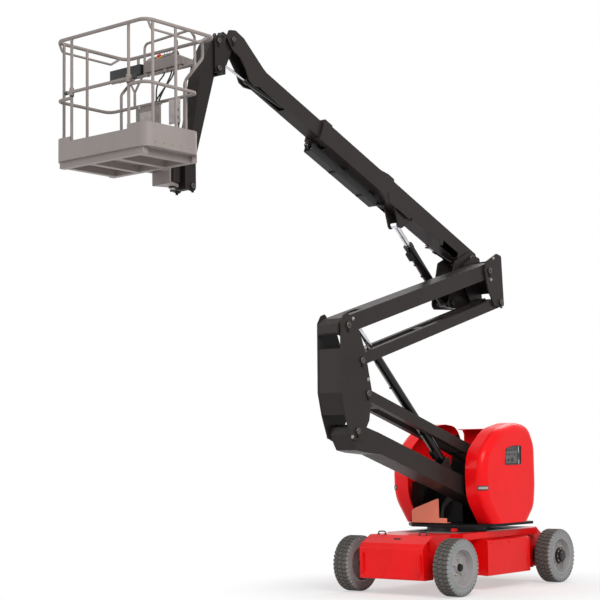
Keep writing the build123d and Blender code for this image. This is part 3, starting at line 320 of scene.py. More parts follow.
def chassis_red():
    """Gloss red chassis with a grey grip coat on the flat deck behind the front cover, and a painted highlight
    on its rounded edges.
    """
    recipe = Recipe("chassis_red", Coat_Roughness=0.07, Specular_IOR_Level=0.10)
    cloud = recipe.noise(2.0, 4.0)
    smudge = recipe.noise(8.0, 5.0, 0.6)
    grit = recipe.noise(900.0, 2.0, 0.7)
    along, across, height = recipe.axes()
    base = recipe.mix(cloud.rise(0.25, 0.75), *tones("chassis_red", 0.93, 1.07))
    # Painted highlight: the rounded edges are mixed towards a lighter red
    base = recipe.mix(recipe.edge(0.005) * 0.3, base, tone("chassis_red", 1.6))
    inside = along.rise(0.60, 0.585) * along.rise(-0.985, -0.97) * abs(across).rise(0.372, 0.366)
    deck = recipe.axes(recipe.normal())[2].rise(0.93, 0.985) * inside * height.rise(0.55, 0.58)
    base = recipe.mix(deck, base, recipe.mix(grit.rise(0.35, 0.7), *tones("deck_grey", 0.8, 1.15)))
    dust = height.rise(0.62, 0.1) * smudge.rise(0.4, 0.85) * 0.03
    base = recipe.mix(dust, base, linear(150, 138, 126))
    recipe.link("Coat Weight", 0.15 - deck * 0.15)
    relief = cloud * 0.35 + grit * deck * 2.0 + smudge * 0.1
    sheen = 0.30 + (smudge - 0.5) * 0.12 + deck * 0.42 + dust * 0.3
    return recipe.finish(base, sheen, relief, 0.0004, 0.7, sizes().rounding)


def panel_salmon():
    """Thin pale moulded cover: satin, with a faint cloudy unevenness."""
    recipe = Recipe("panel_salmon", Specular_IOR_Level=0.4)
    cloud = recipe.noise(6.0, 4.0, 0.6)
    base = recipe.mix(cloud.rise(0.2, 0.8), *tones("panel_salmon", 0.95, 1.04))
    return recipe.finish(base, 0.42 + cloud * 0.12, cloud, 0.0001, 0.5, sizes().rounding)


def chrome():
    """Hard chrome of the piston rods, with fine rings of polish and an oil film."""
    recipe = Recipe("chrome", Metallic=1.0)
    ring = recipe.noise(38.0, 4.0, 0.7)
    oil = recipe.noise(11.0, 3.0)
    base = recipe.mix(oil.rise(0.3, 0.8), linear(214, 216, 220), linear(188, 188, 190))
    return recipe.finish(base, 0.10 + ring * 0.10 + oil * 0.06, ring, 0.00005, 0.4)


def ring_steel():
    """Oiled dark steel of the slewing ring."""
    recipe = Recipe("ring_steel", Specular_IOR_Level=0.5)
    grime = recipe.noise(14.0, 5.0, 0.65)
    film = grime.rise(0.35, 0.7)
    recipe.link("Metallic", 0.75 - grime.rise(0.4, 0.7) * 0.6)
    base = recipe.mix(film, linear(64, 62, 64), linear(30, 28, 28))
    return recipe.finish(base, 0.34 + grime * 0.3, grime, 0.0004, 0.5, 0.002)


def basket_grey():
    """Powder coat of the platform: fine leathery grain, scuffs and a painted highlight on its edges."""
    recipe = Recipe("basket_grey", Specular_IOR_Level=0.3)
    cloud = recipe.noise(3.0, 4.0)
    scuff = recipe.noise(26.0, 6.0, 0.7, (1.0, 1.0, 4.0))
    base = recipe.mix(cloud.rise(0.25, 0.75), *tones("basket_grey", 0.92, 1.06))
    # Painted highlight: the edges are mixed towards a lighter grey
    base = recipe.mix(recipe.edge(0.004) * 0.3, base, tone("basket_grey", 1.35))
    base = recipe.mix(scuff.rise(0.62, 0.72) * 0.22, base, tone("basket_grey", 0.66))
    return recipe.finish(base, 0.46 + (cloud - 0.5) * 0.12, recipe.cells(420.0), 0.0003, 0.35, 0.003)


def tray_black():
    """Grained black plastic."""
    recipe = Recipe("tray_black", Specular_IOR_Level=0.4)
    haze = recipe.noise(12.0, 4.0)
    base = recipe.mix(haze.rise(0.3, 0.75), *tones("hose_black", 1.0, 1.9))
    return recipe.finish(base, 0.48 + haze * 0.16, recipe.cells(700.0), 0.0003, 0.5, 0.002)


def hose_rubber():
    """Hose cover: a fine wrap mark and a dull bloom."""
    recipe = Recipe("hose_rubber", Specular_IOR_Level=0.45)
    bloom = recipe.noise(30.0, 4.0, 0.6)
    base = recipe.mix(bloom.rise(0.35, 0.75), *tones("hose_black", 1.0, 2.1))
    return recipe.finish(base, 0.40 + bloom * 0.2, recipe.noise(700.0, 1.0), 0.0002, 0.4)


def tyre_rubber():
    """Solid non-marking rubber: pale sidewalls, darker tread and scuffed lug edges."""
    recipe = Recipe("tyre_rubber", Specular_IOR_Level=0.3)
    side = recipe.node("ShaderNodeAttribute", {"attribute_name": "sidewall"}, output="Fac")
    scuff = recipe.noise(36.0, 6.0, 0.68)
    wall = recipe.mix(recipe.noise(6.0, 4.0).rise(0.3, 0.7), *tones("tyre_grey", 0.93, 1.04))
    tread = recipe.mix(scuff.rise(0.35, 0.72), *tones("tread_grey", 0.8, 1.2))
    base = recipe.mix(side, tread, wall)
    base = recipe.mix(recipe.edge(0.003) * 0.3 * (1 - side), base, tone("tyre_grey", 0.9))
    relief = scuff * 0.6 + recipe.noise(500.0, 2.0) * 0.4
    return recipe.finish(base, 0.72 + (scuff - 0.5) * 0.16, relief, 0.0006, 0.6, 0.002)


def rim_grey():
    """Painted wheel disc with a fine grain, smudges and a painted highlight on its edges."""
    recipe = Recipe("rim_grey", Specular_IOR_Level=0.45)
    smudge = recipe.noise(16.0, 5.0, 0.62)
    base = recipe.mix(smudge.rise(0.3, 0.75), *tones("rim_grey", 0.9, 1.04))
    # Painted highlight: the edges are mixed towards a lighter grey
    base = recipe.mix(recipe.edge(0.004) * 0.5, base, tone("rim_grey", 1.3))
    relief = recipe.noise(300.0, 2.0) * 0.5 + smudge * 0.5
    return recipe.finish(base, 0.42 + (smudge - 0.5) * 0.2, relief, 0.0002, 0.5, 0.002)


def screw_steel():
    """Zinc-plated steel, mottled."""
    recipe = Recipe("screw_steel", Specular_IOR_Level=0.5)
    mottle = recipe.noise(90.0, 4.0, 0.6)
    recipe.link("Metallic", 0.9 - mottle * 0.15)
    base = recipe.mix(mottle.rise(0.3, 0.7), *tones("steel", 0.7, 1.05))
    return recipe.finish(base, 0.30 + mottle * 0.22, mottle, 0.0001, 0.4, 0.001)


def pin_steel():
    """Blackened pin steel with a painted highlight on its edges."""
    recipe = Recipe("pin_steel", Metallic=0.85, Specular_IOR_Level=0.5)
    worn = recipe.noise(60.0, 5.0, 0.65)
    base = recipe.mix(worn.rise(0.35, 0.7), linear(58, 55, 53), linear(96, 92, 88))
    # Painted highlight: the edges are mixed towards a pale steel colour
    base = recipe.mix(recipe.edge(0.003) * 0.7, base, linear(190, 186, 180))
    return recipe.finish(base, 0.30 + worn * 0.25, worn, 0.0001, 0.4, 0.001)


def window_clear():
    """Smoked clear cover over the ground controls."""
    recipe = Recipe("window_clear", IOR=1.45, Specular_IOR_Level=0.5)
    haze = recipe.noise(40.0, 3.0)
    recipe.link("Alpha", 0.30 + haze * 0.12)
    base = recipe.mix(haze.rise(0.3, 0.7), linear(50, 54, 58), linear(78, 82, 86))
    return recipe.finish(base, 0.08 + haze * 0.08)


def console_grey():
    """Grey console box with its open tray in black, both with a fine grain."""
    recipe = Recipe("console_grey", Specular_IOR_Level=0.35)
    haze = recipe.noise(14.0, 4.0)
    tray = recipe.axes()[1].rise(-0.262, -0.266)
    case = recipe.mix(haze.rise(0.3, 0.75), *tones("basket_grey", 0.72, 0.9))
    base = recipe.mix(tray, case, tone("hose_black", 1.4))
    return recipe.finish(base, 0.40 + haze * 0.14 + tray * 0.08, recipe.cells(700.0), 0.0003, 0.4, 0.003)


def plastic(name, red, green, blue, roughness):
    """Moulded plastic with a fine grain."""
    recipe = Recipe(name, Specular_IOR_Level=0.45)
    colour = linear(red, green, blue)
    haze = recipe.noise(24.0, 3.0)
    base = recipe.mix(haze.rise(0.3, 0.75), shade(colour, 0.88), shade(colour, 1.1))
    return recipe.finish(base, roughness + haze * 0.12, recipe.cells(900.0), 0.0002, 0.4, 0.0015)


SINGLE = (chassis_red, panel_salmon, chrome, ring_steel, basket_grey, tray_black, hose_rubber, tyre_rubber)
SINGLE += (rim_grey, screw_steel, pin_steel, window_clear, console_grey)


def finish(name):
    """The named material, made at its first use."""
    made = bpy.data.materials.get(f"boomlift_{name}")
    if made:
        return made
    if name in SPRAYED:
        return sprayed(name, *SPRAYED[name])
    if name in PLASTICS:
        return plastic(name, *PLASTICS[name])
    return {made.__name__: made for made in SINGLE}[name]()


# ---- making meshes


# How deep a screw or a turned head is sunk into its face, so that no gap shows
SUNK = 0.0005


def across(axis):
    """Two unit vectors square to an axis and to each other."""
    first = axis.cross(Z if abs(axis.z) < 0.9 else X).normalized()
    return first, axis.cross(first)


def circle(centre, first, second, radius, count, offset=0.0):
    """Points round a centre in the plane of two unit vectors, started off by a share of their pitch."""
    angles = (TAU * (i + offset) / count for i in range(count))
    return [centre + (first * math.cos(angle) + second * math.sin(angle)) * radius for angle in angles]


def rectangle(half_width, half_height):
    """Corners of a rectangle round its centre."""
    return [(a * half_width, b * half_height) for a, b in ((-1, -1), (1, -1), (1, 1), (-1, 1))]


def head(radius, height, end_height, end_radius):
    """Profile of a short cylinder with a chamfered end."""
    return [(0, radius), (height, radius), (end_height, end_radius)]


def gland(radius, height, neck, neck_radius, end):
    """Profile of a cable gland: a head, then a narrower neck."""
    return [*head(radius, height, neck, neck_radius), (end, neck_radius)]


class Shape:
    """The faces of one joined piece, built up from turned, swept and cut forms in the row frame."""

    def __init__(self):
        self.mesh = bmesh.new()

    def skin(self, rings, closed_ends=True, wrap=True):
        """Faces between rings of points, each ring with the same count."""
        rows = [[self.mesh.verts.new(point) for point in ring] for ring in rings]
        count = len(rows[0])
        for low, high in zip(rows, rows[1:]):
            for i in range(count if wrap else count - 1):
                after = (i + 1) % count
                self.mesh.faces.new((low[i], low[after], high[after], high[i]))
        if closed_ends:
            self.mesh.faces.new(list(reversed(rows[0])))
            self.mesh.faces.new(rows[-1])
        return self

    def turned(self, start, axis, profile, sides=24):
        """A form turned round an axis; profile lists (distance along the axis, radius)."""
        axis = Vector(axis).normalized()
        first, second = across(axis)
        start = Vector(start)
        return self.skin([circle(start + axis * at, first, second, radius, sides) for at, radius in profile])

    def screw(self, foot, axis, size, washer=True):
        """A hexagon-headed screw on its washer, standing on a face; its measures are shares of its size."""
        if washer:
            rim = 0.95 * size
            self.turned(foot, axis, head(rim, 0.10 * size, 0.14 * size, 0.9 * rim), 18)
        base = 0.13 * size if washer else 0.0
        profile = [(base, 0.56 * size), (base + 0.5 * size, 0.56 * size), (base + 0.62 * size, 0.44 * size)]
        return self.turned(foot, axis, profile, 6)

    def block(self, low, high, bevel, segments=2):
        """A box between two corners, its edges rounded."""
        low, high = Vector(low), Vector(high)
        made = bmesh.ops.create_cube(self.mesh, size=1.0)["verts"]
        fit = Matrix.Translation((low + high) / 2) @ Matrix.Diagonal((*(high - low), 1.0))
        bmesh.ops.transform(self.mesh, matrix=fit, verts=made)
        edges = list({edge for vert in made for edge in vert.link_edges})
        bmesh.ops.bevel(self.mesh, geom=edges, offset=bevel, segments=segments, affect="EDGES")
        return self

    def plate(self, outline, origin, right, up, thickness, bevel=0.0):
        """A flat plate: an outline of (right, up) points, thickened along right x up."""
        right, up = Vector(right).normalized(), Vector(up).normalized()
        outward = right.cross(up)
        base = [Vector(origin) + right * a + up * b for a, b in outline]
        if not bevel:
            return self.skin([base, [point + outward * thickness for point in base]])
        centre = sum(base, Vector()) / len(base)
        top = [point + outward * (thickness - bevel) for point in base]
        inner = [point + (centre - point).normalized() * bevel + outward * thickness for point in base]
        return self.skin([base, top, inner])

    def swept(self, path, radius, sides=12):
        """A round bar or tube along a path of points."""
        points = [Vector(point) for point in path]
        rings = []
        normal = None
        for i, point in enumerate(points):
            tangent = (points[min(i + 1, len(points) - 1)] - points[max(i - 1, 0)]).normalized()
            if normal is None:
                normal = across(tangent)[0]
            normal = (normal - tangent * normal.dot(tangent)).normalized()
            rings.append(circle(point, normal, tangent.cross(normal), radius, sides))
        return self.skin(rings)

    def hose(self, path, radius, steps=8, sides=10):
        """A round bar or tube along a smooth line through the points."""
        return self.swept(curve_points(path, steps), radius, sides)

    def piece(self, name, body, material, smooth_angle, bevel=None):
        """Closes the shape as an object that rides on a body."""
        bmesh.ops.recalc_face_normals(self.mesh, faces=self.mesh.faces)
        data = bpy.data.meshes.new(name)
        self.mesh.to_mesh(data)
        self.mesh.free()
        made = bpy.data.objects.new(name, data)
        bpy.context.scene.collection.objects.link(made)
        data.materials.append(finish(material))
        data.shade_smooth()
        data.set_sharp_from_angle(angle=math.radians(smooth_angle))
        if bevel:
            rounding = made.modifiers.new("rounding", "BEVEL")
            rounding.width = bevel
            rounding.segments = 2
            rounding.limit_method = "ANGLE"
            rounding.angle_limit = math.radians(40)
        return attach(made, body)


def curve_points(points, steps=8):
    """A smooth line through the points, as a Catmull-Rom curve."""
    points = [Vector(point) for point in points]
    # One more point at each end, straight on from the last two
    points = [2 * points[0] - points[1], *points, 2 * points[-1] - points[-2]]
    line = []
    for a, b, c, d in zip(points, points[1:], points[2:], points[3:]):
        for k in range(steps):
            t = k / steps
            bend = (c - a) * t + (2 * a - 5 * b + 4 * c - d) * t**2 + (3 * b - a - 3 * c + d) * t**3
            line.append(0.5 * (2 * b + bend))
    return [*line, points[-2]]


# ---- places in the frame


def pivot(joint):
    """A hinge's place at rest."""
    return Vector(JOINTS[joint]["pos_m"])


def slide_axis(joint):
    """A slide's direction at rest."""
    return Vector(JOINTS[joint]["axis"]).normalized()


# The CAD nodes that each finish goes on
PAINT = {
    "chassis_red": "chassis_frame",
    "box_red": "side_boxes",
    "hood_red": "hood_left hood_right bridge_panel",
    "panel_salmon": "front_panel",
    "ring_steel": "slew_ring drive_hub_left drive_hub_right",
    "turret_black": "steering_axle rear_axle steering_knuckle_left steering_knuckle_right turret_frame"
    " counterweight",
    "rim_grey": "front_rim_left front_rim_right rear_rim_left rear_rim_right",
    "tray_black": "battery_packs hose_tray",
    "boom_brown": "lower_arm lower_tie riser upper_arm upper_tie knuckle boom_outer boom_inner",
    "jib_black": "jib_base jib_arm jib_tie carrier",
    "cylinder_black": "tower_cylinder_barrel lift_cylinder_barrel levelling_cylinder_barrel"
    " jib_levelling_cylinder_barrel",
    "chrome": "tower_cylinder_rod lift_cylinder_rod levelling_cylinder_rod jib_levelling_cylinder_rod",
    "basket_grey": "basket_floor rail_left rail_right rail_rear rail_front entry_bar",
    "console_grey": "console",
    "case_grey": "ground_controls",
    "tyre_rubber": "front_tyre_left front_tyre_right rear_tyre_left rear_tyre_right",
}


class BOOMLIFT_OT_paint(bpy.types.Operator):
    """Gives every CAD node its finish"""

    bl_idname = "boomlift.paint"
    bl_label = "Paint the frame"

    def execute(self, context):
        for material, nodes in PAINT.items():
            for node in nodes.split():
                data = frame["nodes"][node].data
                data.materials.clear()
                data.materials.append(finish(material))
        return {"FINISHED"}


# ---- wheels


# Each wheel's place along the machine, its side, and the sign of its outer side
WHEELS = [(part, side, sign) for part in ("front", "rear") for side, sign in SIDES]
TREAD_CORNER = 0.026  # Radius of the tyre's shoulders
CARCASS_STEPS = 96
STUD_STEM = [(0.012, 0.0065), (0.026, 0.0065), (0.028, 0.005)]
CAP_PROFILES = {
    "front": [(0, 0.041), (0.012, 0.041), (0.021, 0.037), (0.026, 0.026), (0.027, 0.012), (0.027, 0.001)],
    "rear": [(0, 0.070), (0.0045, 0.070), (0.0060, 0.0675), (0.0060, 0.0600)],
}
# Height of the cap's foot off the tyre's middle
CAP_SEATS = {"front": 0.045, "rear": 0.0838}
# Each axle's rings of screws: height off the tyre's middle, radius, count, offset in pitches, size, washers
WHEEL_SCREWS = {
    "front": [(0.0235, 0.086, 5, 0.25, 0.023, True)],
    "rear": [
        (0.0835, 0.079, 9, 0.0, 0.016, False),
        (0.1115, 0.052, 2, 0.9 / math.pi, 0.009, False),
        (0.0335, 0.118, 10, 0.5, 0.019, True),
    ],
}
# The tyre's flank, paler than its tread, starts this far inside the tyre's side and blends in over this width
FLANK_DEPTH, FLANK_BLEND = 0.013, 0.008


def tyre_shape(centre, radius, half, bead):
    """A solid tyre: its carcass with mould rings, and three staggered columns of tread lugs."""
    groove = sizes().lug_height

    def spun(r, y, angle):
        return centre + Vector((math.cos(angle), 0, math.sin(angle))) * r + Vector((0, y, 0))

    def shoulder(inset, angles):
        """Points (radius, y) on the rounded shoulder, sunk by the inset."""
        arc = TREAD_CORNER - inset * 0.6
        points = []
        for turn in map(math.radians, angles):
            r = radius - TREAD_CORNER + arc * math.cos(turn) - inset * 0.4
            points.append((r, half - TREAD_CORNER + arc * math.sin(turn)))
        return points

    # The sidewall from the bead outwards, with a raised ring near the rim and one near the tread
    left = [(bead, 0.084), (bead + 0.003, 0.0905), (bead + 0.010, 0.0925), (bead + 0.017, 0.0925)]
    left += [(bead + 0.019, 0.0905), (radius - 0.056, 0.0915), (radius - 0.053, 0.0935)]
    left += [(radius - 0.044, 0.0937), (radius - 0.041, 0.0920), *shoulder(groove, (82, 55, 28, 4))]
    right = [(r, -y) for r, y in reversed(left)]
    carcass = [*left, (radius - groove, 0.03), (radius - groove, -0.03), *right]
    rings = [[spun(r, y, TAU * i / CARCASS_STEPS) for r, y in carcass] for i in range(CARCASS_STEPS)]
    shape = Shape().skin([*rings, rings[0]], closed_ends=False, wrap=False)
    count = sizes().lug_count
    pitch = TAU / count
    outer = [(radius - 0.041, 0.0942)]
    outer += [(r + 0.0002, y) for r, y in shoulder(0.0, (78, 55, 30, 8))]
    outer += [(radius, 0.034)]
    # Each column's top outline as (radius, y), then its lugs' start and length in pitches, and their slant
    columns = [
        (outer, 0.0, 0.66, 0.10),
        ([(r, -y) for r, y in outer], 0.5, 0.66, -0.10),
        ([(radius, -0.026), (radius, 0.0), (radius, 0.026)], 0.25, 0.70, 0.16),
    ]
    for top, start, share, skew in columns:
        # The foot of the lug lies inside the carcass, so that no gap shows
        foot = []
        for r, y in reversed(top):
            sunk = (groove + 0.002) * min(1.0, max(0.15, (r - radius + 0.045) / 0.03))
            foot.append((r - sunk, y * (1.0 if abs(y) < 0.07 else 0.985), y))
        outline = [(r, y, y) for r, y in top] + foot
        for k in range(count):
            turns = [k + start + share * j / 3 for j in range(4)]
            lug = [[spun(r, y, (turn + skew * at / 0.05) * pitch) for r, y, at in outline] for turn in turns]
            shape.skin(lug)
    return shape


def mark_sidewalls(made, centre, half):
    """Point attribute sidewall: 1 on the flanks, 0 on the tread."""
    vertices = made.data.vertices
    depths = (abs(vertex.co.y - centre.y) - half + FLANK_DEPTH for vertex in vertices)
    values = [min(1.0, max(0.0, depth / FLANK_BLEND)) for depth in depths]
    made.data.attributes.new("sidewall", "FLOAT", "POINT").data.foreach_set("value", values)


class BOOMLIFT_OT_tyres(bpy.types.Operator):
    """Solid tyres with tread lugs in place of the plain ones"""

    bl_idname = "boomlift.tyres"
    bl_label = "Tyres"

    def execute(self, context):
        for part, side, _ in WHEELS:
            node = f"{part}_tyre_{side}"
            low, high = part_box(node)
            centre = (low + high) / 2
            centre.z = pivot(f"{part}_wheel_{side}_spin").z
            half = (high.y - low.y) / 2
            rim_low, rim_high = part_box(f"{part}_rim_{side}")
            bead = (rim_high.z - rim_low.z) / 2 + 0.0005
            shape = tyre_shape(centre, (high.x - low.x) / 2, half, bead)
            made = shape.piece(f"tyre_{part}_{side}", f"{part}_wheel_{side}", "tyre_rubber", 32)
            mark_sidewalls(made, centre, half)
            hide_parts(node)
        return {"FINISHED"}


class BOOMLIFT_OT_wheel_trim(bpy.types.Operator):
    """Studs, hub caps and gear-hub screws"""

    bl_idname = "boomlift.wheel_trim"
    bl_label = "Wheel trim"

    def execute(self, context):
        for part, side, sign in WHEELS:
            hub = pivot(f"{part}_wheel_{side}_spin")
            out = Y * sign
            low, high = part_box(f"{part}_tyre_{side}")
            middle = ((low + high) / 2).y
            studs = Shape()
            for height, radius, count, offset, size, washer in WHEEL_SCREWS[part]:
                centre = Vector((hub.x, middle + sign * height, hub.z))
                for at in circle(centre, X, Z, radius, count, offset):
                    studs.screw(at, out, size, washer)
                    if part == "front":
                        studs.turned(at, out, STUD_STEM, 12)
            studs.piece(f"studs_{part}_{side}", f"{part}_wheel_{side}", "screw_steel", 30)
            seat = (hub.x, middle + sign * CAP_SEATS[part], hub.z)
            cap = Shape().turned(seat, out, CAP_PROFILES[part], 36)
            cap.piece(f"hub_cap_{part}_{side}", f"{part}_wheel_{side}", "turret_black", 40)
        return {"FINISHED"}


# ---- pins of the arms and the jib


# Turned pin head with a chamfer and a grease point: distance out from the plate, share of the head's radius
PIN_HEAD = [(0, 1), (0.010, 1), (0.014, 0.86), (0.014, 0.34), (0.008, 0.28), (0.008, 0.14), (0.019, 0.12)]
PIN_HEAD += [(0.021, 0.06)]
# Half the pin's length and its radius
TOWER_PIN, BOOM_PIN, LIFT_PIN = (0.163, 0.030), (0.132, 0.030), (0.128, 0.022)
JIB_BASE_PIN, JIB_PIN = (0.085, 0.022), (0.106, 0.022)
PIN_COLLAR = 0.004  # By how much a pin's head is wider than its pin
# Keeper plate: half its width, its thickness, its seat in from the pin's end, its screw's distance past the pin
KEEPER_HALF, KEEPER_THICKNESS, KEEPER_SEAT, KEEPER_REACH = 0.013, 0.010, 0.0085, 0.026


def pin_table():
    """Name, body, pin centre and size of every cross pin with turned ends."""
    tower, tie = pivot("tower_lift"), pivot("lower_tie_swing")
    upper, upper_tie = pivot("upper_arm_swing"), pivot("upper_tie_swing")
    riser, knuckle = pivot("riser_level"), pivot("knuckle_level")
    jib, jib_tie = pivot("jib_lift"), pivot("jib_tie_swing")
    carrier = pivot("carrier_level")
    return [
        ("tower", "turret", tower, TOWER_PIN),
        ("tower_tie", "turret", tie, TOWER_PIN),
        ("riser_low", "riser_link", riser, TOWER_PIN),
        ("riser_tie", "riser_link", riser + tie - tower, TOWER_PIN),
        ("riser_top", "riser_link", upper, TOWER_PIN),
        ("riser_top_tie", "riser_link", upper_tie, TOWER_PIN),
        ("knuckle", "knuckle_link", knuckle, TOWER_PIN),
        ("knuckle_tie", "knuckle_link", knuckle + upper_tie - upper, TOWER_PIN),
        ("boom", "knuckle_link", pivot("boom_lift"), BOOM_PIN),
        ("lift_foot", "knuckle_link", pivot("lift_cylinder_swing"), LIFT_PIN),
        ("jib_base", "boom_slide", pivot("jib_base_level"), JIB_BASE_PIN),
        ("jib", "jib_base_link", jib, JIB_PIN),
        ("jib_tie", "jib_base_link", jib_tie, JIB_PIN),
        ("carrier", "carrier_link", carrier, JIB_PIN),
        ("carrier_tie", "carrier_link", carrier + jib_tie - jib, JIB_PIN),
    ]


class BOOMLIFT_OT_pins(bpy.types.Operator):
    """Turned pin heads with their keeper plates on both ends of every cross pin"""

    bl_idname = "boomlift.pins"
    bl_label = "Pins"

    def execute(self, context):
        for name, body, centre, (half, radius) in pin_table():
            caps, keepers = Shape(), Shape()
            head = [(at, share * (radius + PIN_COLLAR)) for at, share in PIN_HEAD]
            # Keeper: a tab from the pin's edge down to a screw in the plate
            reach = radius + KEEPER_REACH
            low, high = -reach - 0.014, -radius * 0.6
            tab = [(-KEEPER_HALF, low), (KEEPER_HALF, low), (KEEPER_HALF, high), (-KEEPER_HALF, high)]
            for sign in (-1, 1):
                out = Y * sign
                caps.turned(centre + out * (half - SUNK), out, head, 28)
                seat = centre + out * (half - KEEPER_SEAT)
                keepers.plate(tab, seat, X * -sign, Z, KEEPER_THICKNESS)
                keepers.screw(seat + out * 0.0045 - Z * reach, out, 0.015)
            caps.piece(f"pin_{name}", body, "pin_steel", 35)
            keepers.piece(f"keeper_{name}", body, "turret_black", 30)
        return {"FINISHED"}


# Body, and the (x, z) places of the screws in both of its side plates
PLATE_SCREWS = [
    ("riser_link", [(2.245, 2.845), (2.050, 2.560), (2.010, 2.240), (2.290, 1.660)]),
    ("knuckle_link", [(-0.390, 3.690), (-0.330, 3.440), (-0.535, 3.140)]),
]
# Y of each side plate's outer face, and its outward sign
PLATE_FACES = [(0.330, 1), (0.020, -1)]


class BOOMLIFT_OT_plate_screws(bpy.types.Operator):
    """Screws through the riser's and the knuckle's side plates"""

    bl_idname = "boomlift.plate_screws"
    bl_label = "Plate screws"

    def execute(self, context):
        plates = [(body, places, *face) for body, places in PLATE_SCREWS for face in PLATE_FACES]
        for i, (body, places, y, sign) in enumerate(plates):
            shape = Shape()
            for x, z in places:
                shape.screw((x, y - sign * SUNK, z), Y * sign, 0.020)
            shape.piece(f"plate_screws_{i}", body, "screw_steel", 30)
        return {"FINISHED"}


# ---- cylinders and hoses


# Which cylinder, its barrel's radius, the two ports' places along it and the valve block's
CYLINDERS = [("tower", 0.048, (0.15, 1.56), 0.17), ("lift", 0.050, (0.14, 0.84), 0.79)]
PIPE_STAND = 0.018  # Distance of the oil pipe from its barrel
PIPE_CLIPS = 3


class BOOMLIFT_OT_cylinder_pipes(bpy.types.Operator):
    """Hard oil pipes, port blocks and clips along the two big barrels"""

    bl_idname = "boomlift.cylinder_pipes"
    bl_label = "Cylinder pipes"

    def execute(self, context):
        for name, radius, ports, valve in CYLINDERS:
            node, body = f"{name}_cylinder_barrel", f"{name}_barrel"
            axis = slide_axis(f"{name}_cylinder_stroke")
            under = Vector((axis.z, 0, -axis.x))
            foot = pivot(f"{name}_cylinder_swing")
            low, high = (foot + axis * port + under * radius for port in ports)
            # The pipe leaves its port, bends, and runs beside the barrel: (off the barrel, along it)
            bend = [(-0.002, 0), (PIPE_STAND - 0.004, 0), (PIPE_STAND, 0.006)]
            path = [low + under * off + axis * on for off, on in bend]
            path += [high + under * off - axis * on for off, on in reversed(bend)]
            Shape().swept(path, 0.006).piece(f"pipe_{node}", body, "screw_steel", 60)
            fittings = Shape()
            for port in (low, high):
                fittings.turned(port - under * 0.004, under, head(0.016, 0.010, 0.012, 0.013), 6)
            # Valve block, and clips along the pipe
            place = foot + axis * valve + under * (radius - 0.006)
            fittings.plate(rectangle(0.055, 0.030), place, axis, -Y, 0.040, 0.003)
            for i in range(PIPE_CLIPS):
                place = low.lerp(high, (i + 1) / (PIPE_CLIPS + 1)) + under * 0.002
                fittings.plate(rectangle(0.010, 0.016), place, axis, -Y, PIPE_STAND + 0.006, 0.002)
            fittings.piece(f"fittings_{node}", body, "turret_black", 30)
        return {"FINISHED"}


# Bundle in the boom's tray: its count, the first hose's place to the left, and the pitch
TRAY_HOSES, TRAY_LEFT, TRAY_PITCH = 4, -0.076, 0.017
# Lines of the hoses in the boom's tray and at its mouth: (along the boom's line, above it)
TRAY_RUN = [(1.58, -0.150), (1.70, -0.205), (1.84, -0.216), (2.40, -0.216), (2.86, -0.214)]
MOUTH_BEND = [(2.84, -0.214), (2.905, -0.206), (2.935, -0.178), (2.915, -0.150), (2.86, -0.142)]
# Loop over the jib's pin: x from the pin, share of the hose's place to the left, z, added rise a hose
JIB_LOOP = [
    (-0.074, 1.0, 0.036, 0.0),
    (-0.082, 1.1, 0.082, 0.008),
    (-0.115, 1.2, 0.098, 0.008),
    (-0.135, 1.2, 0.060, 0.0),
    (-0.120, 1.1, 0.000, 0.0),
    (-0.095, 1.0, -0.060, 0.0),
]


def boom_point(along, up, left):
    """A point in the row frame from its place along the boom's line, above it and to its left."""
    axis = slide_axis("boom_extend")
    return pivot("boom_lift") + axis * along + Vector((-axis.z, 0, axis.x)) * up + Y * left


class BOOMLIFT_OT_boom_hoses(bpy.types.Operator):
    """Hoses: out of the tray to the boom's belly, at the tray's mouth, and the loops at the boom's tip"""

    bl_idname = "boomlift.boom_hoses"
    bl_label = "Boom hoses"

    def execute(self, context):
        # Bundle that lies in the tray and runs out of its near end along the boom's belly
        tray = Shape()
        for i in range(TRAY_HOSES):
            left = TRAY_LEFT + i * TRAY_PITCH
            start = boom_point(1.46 + 0.03 * i, -0.126, left + 0.01)
            tray.hose([start, *(boom_point(*at, left) for at in TRAY_RUN)], sizes().hose_radius, 7)
        tray.piece("tray_hoses", "boom", "hose_rubber", 60)
        # Return bend that shows at the tray's mouth
        mouth = Shape()
        for left in (-0.062, -0.036):
            mouth.hose([boom_point(*at, left) for at in MOUTH_BEND], 0.007)
        mouth.piece("mouth_hoses", "boom", "hose_rubber", 60)
        # Clamps across the bundle
        clamps = Shape()
        strap = [(-0.012, 0.0), (0.012, 0.0), (0.012, 0.074), (-0.012, 0.074)]
        for along in (1.95, 2.45):
            clamps.plate(strap, boom_point(along, -0.222, -0.086), slide_axis("boom_extend"), Y, -0.020)
        clamps.piece("tray_clamps", "boom", "turret_black", 30)
        # Loops over the jib's pin, from the boom's tip to the turned head of the jib
        tips = Shape()
        jib = pivot("jib_lift")
        for i, left in enumerate((0.030, 0.052, -0.040)):
            path = [jib + Vector((x, left * share, z + rise * i)) for x, share, z, rise in JIB_LOOP]
            tips.hose(path, 0.0075)
        tips.piece("jib_hoses", "jib_base_link", "hose_rubber", 60)
        return {"FINISHED"}


# ---- turret and chassis


# Centre of the hood's rounded front edge at the latch's height, and the faces round a strip there
LATCH_PLACE = Vector((0.2755, 0.520, 1.100))
STRIP_STEPS = 14
# Both strips of a latch: from and to which angle, inner and outer radius, half the height
LATCH_CUP, LATCH_BAR = (8, 80, 0.0985, 0.1025, 0.026), (14, 74, 0.1015, 0.1080, 0.014)
# Corners of the left hood's window in (x, z), and how far each is rounded
WINDOW = [(-0.087, 1.515), (-0.213, 1.547), (-0.402, 1.550), (-0.391, 1.345), (-0.058, 1.344)]
WINDOW_ROUNDING = 0.018


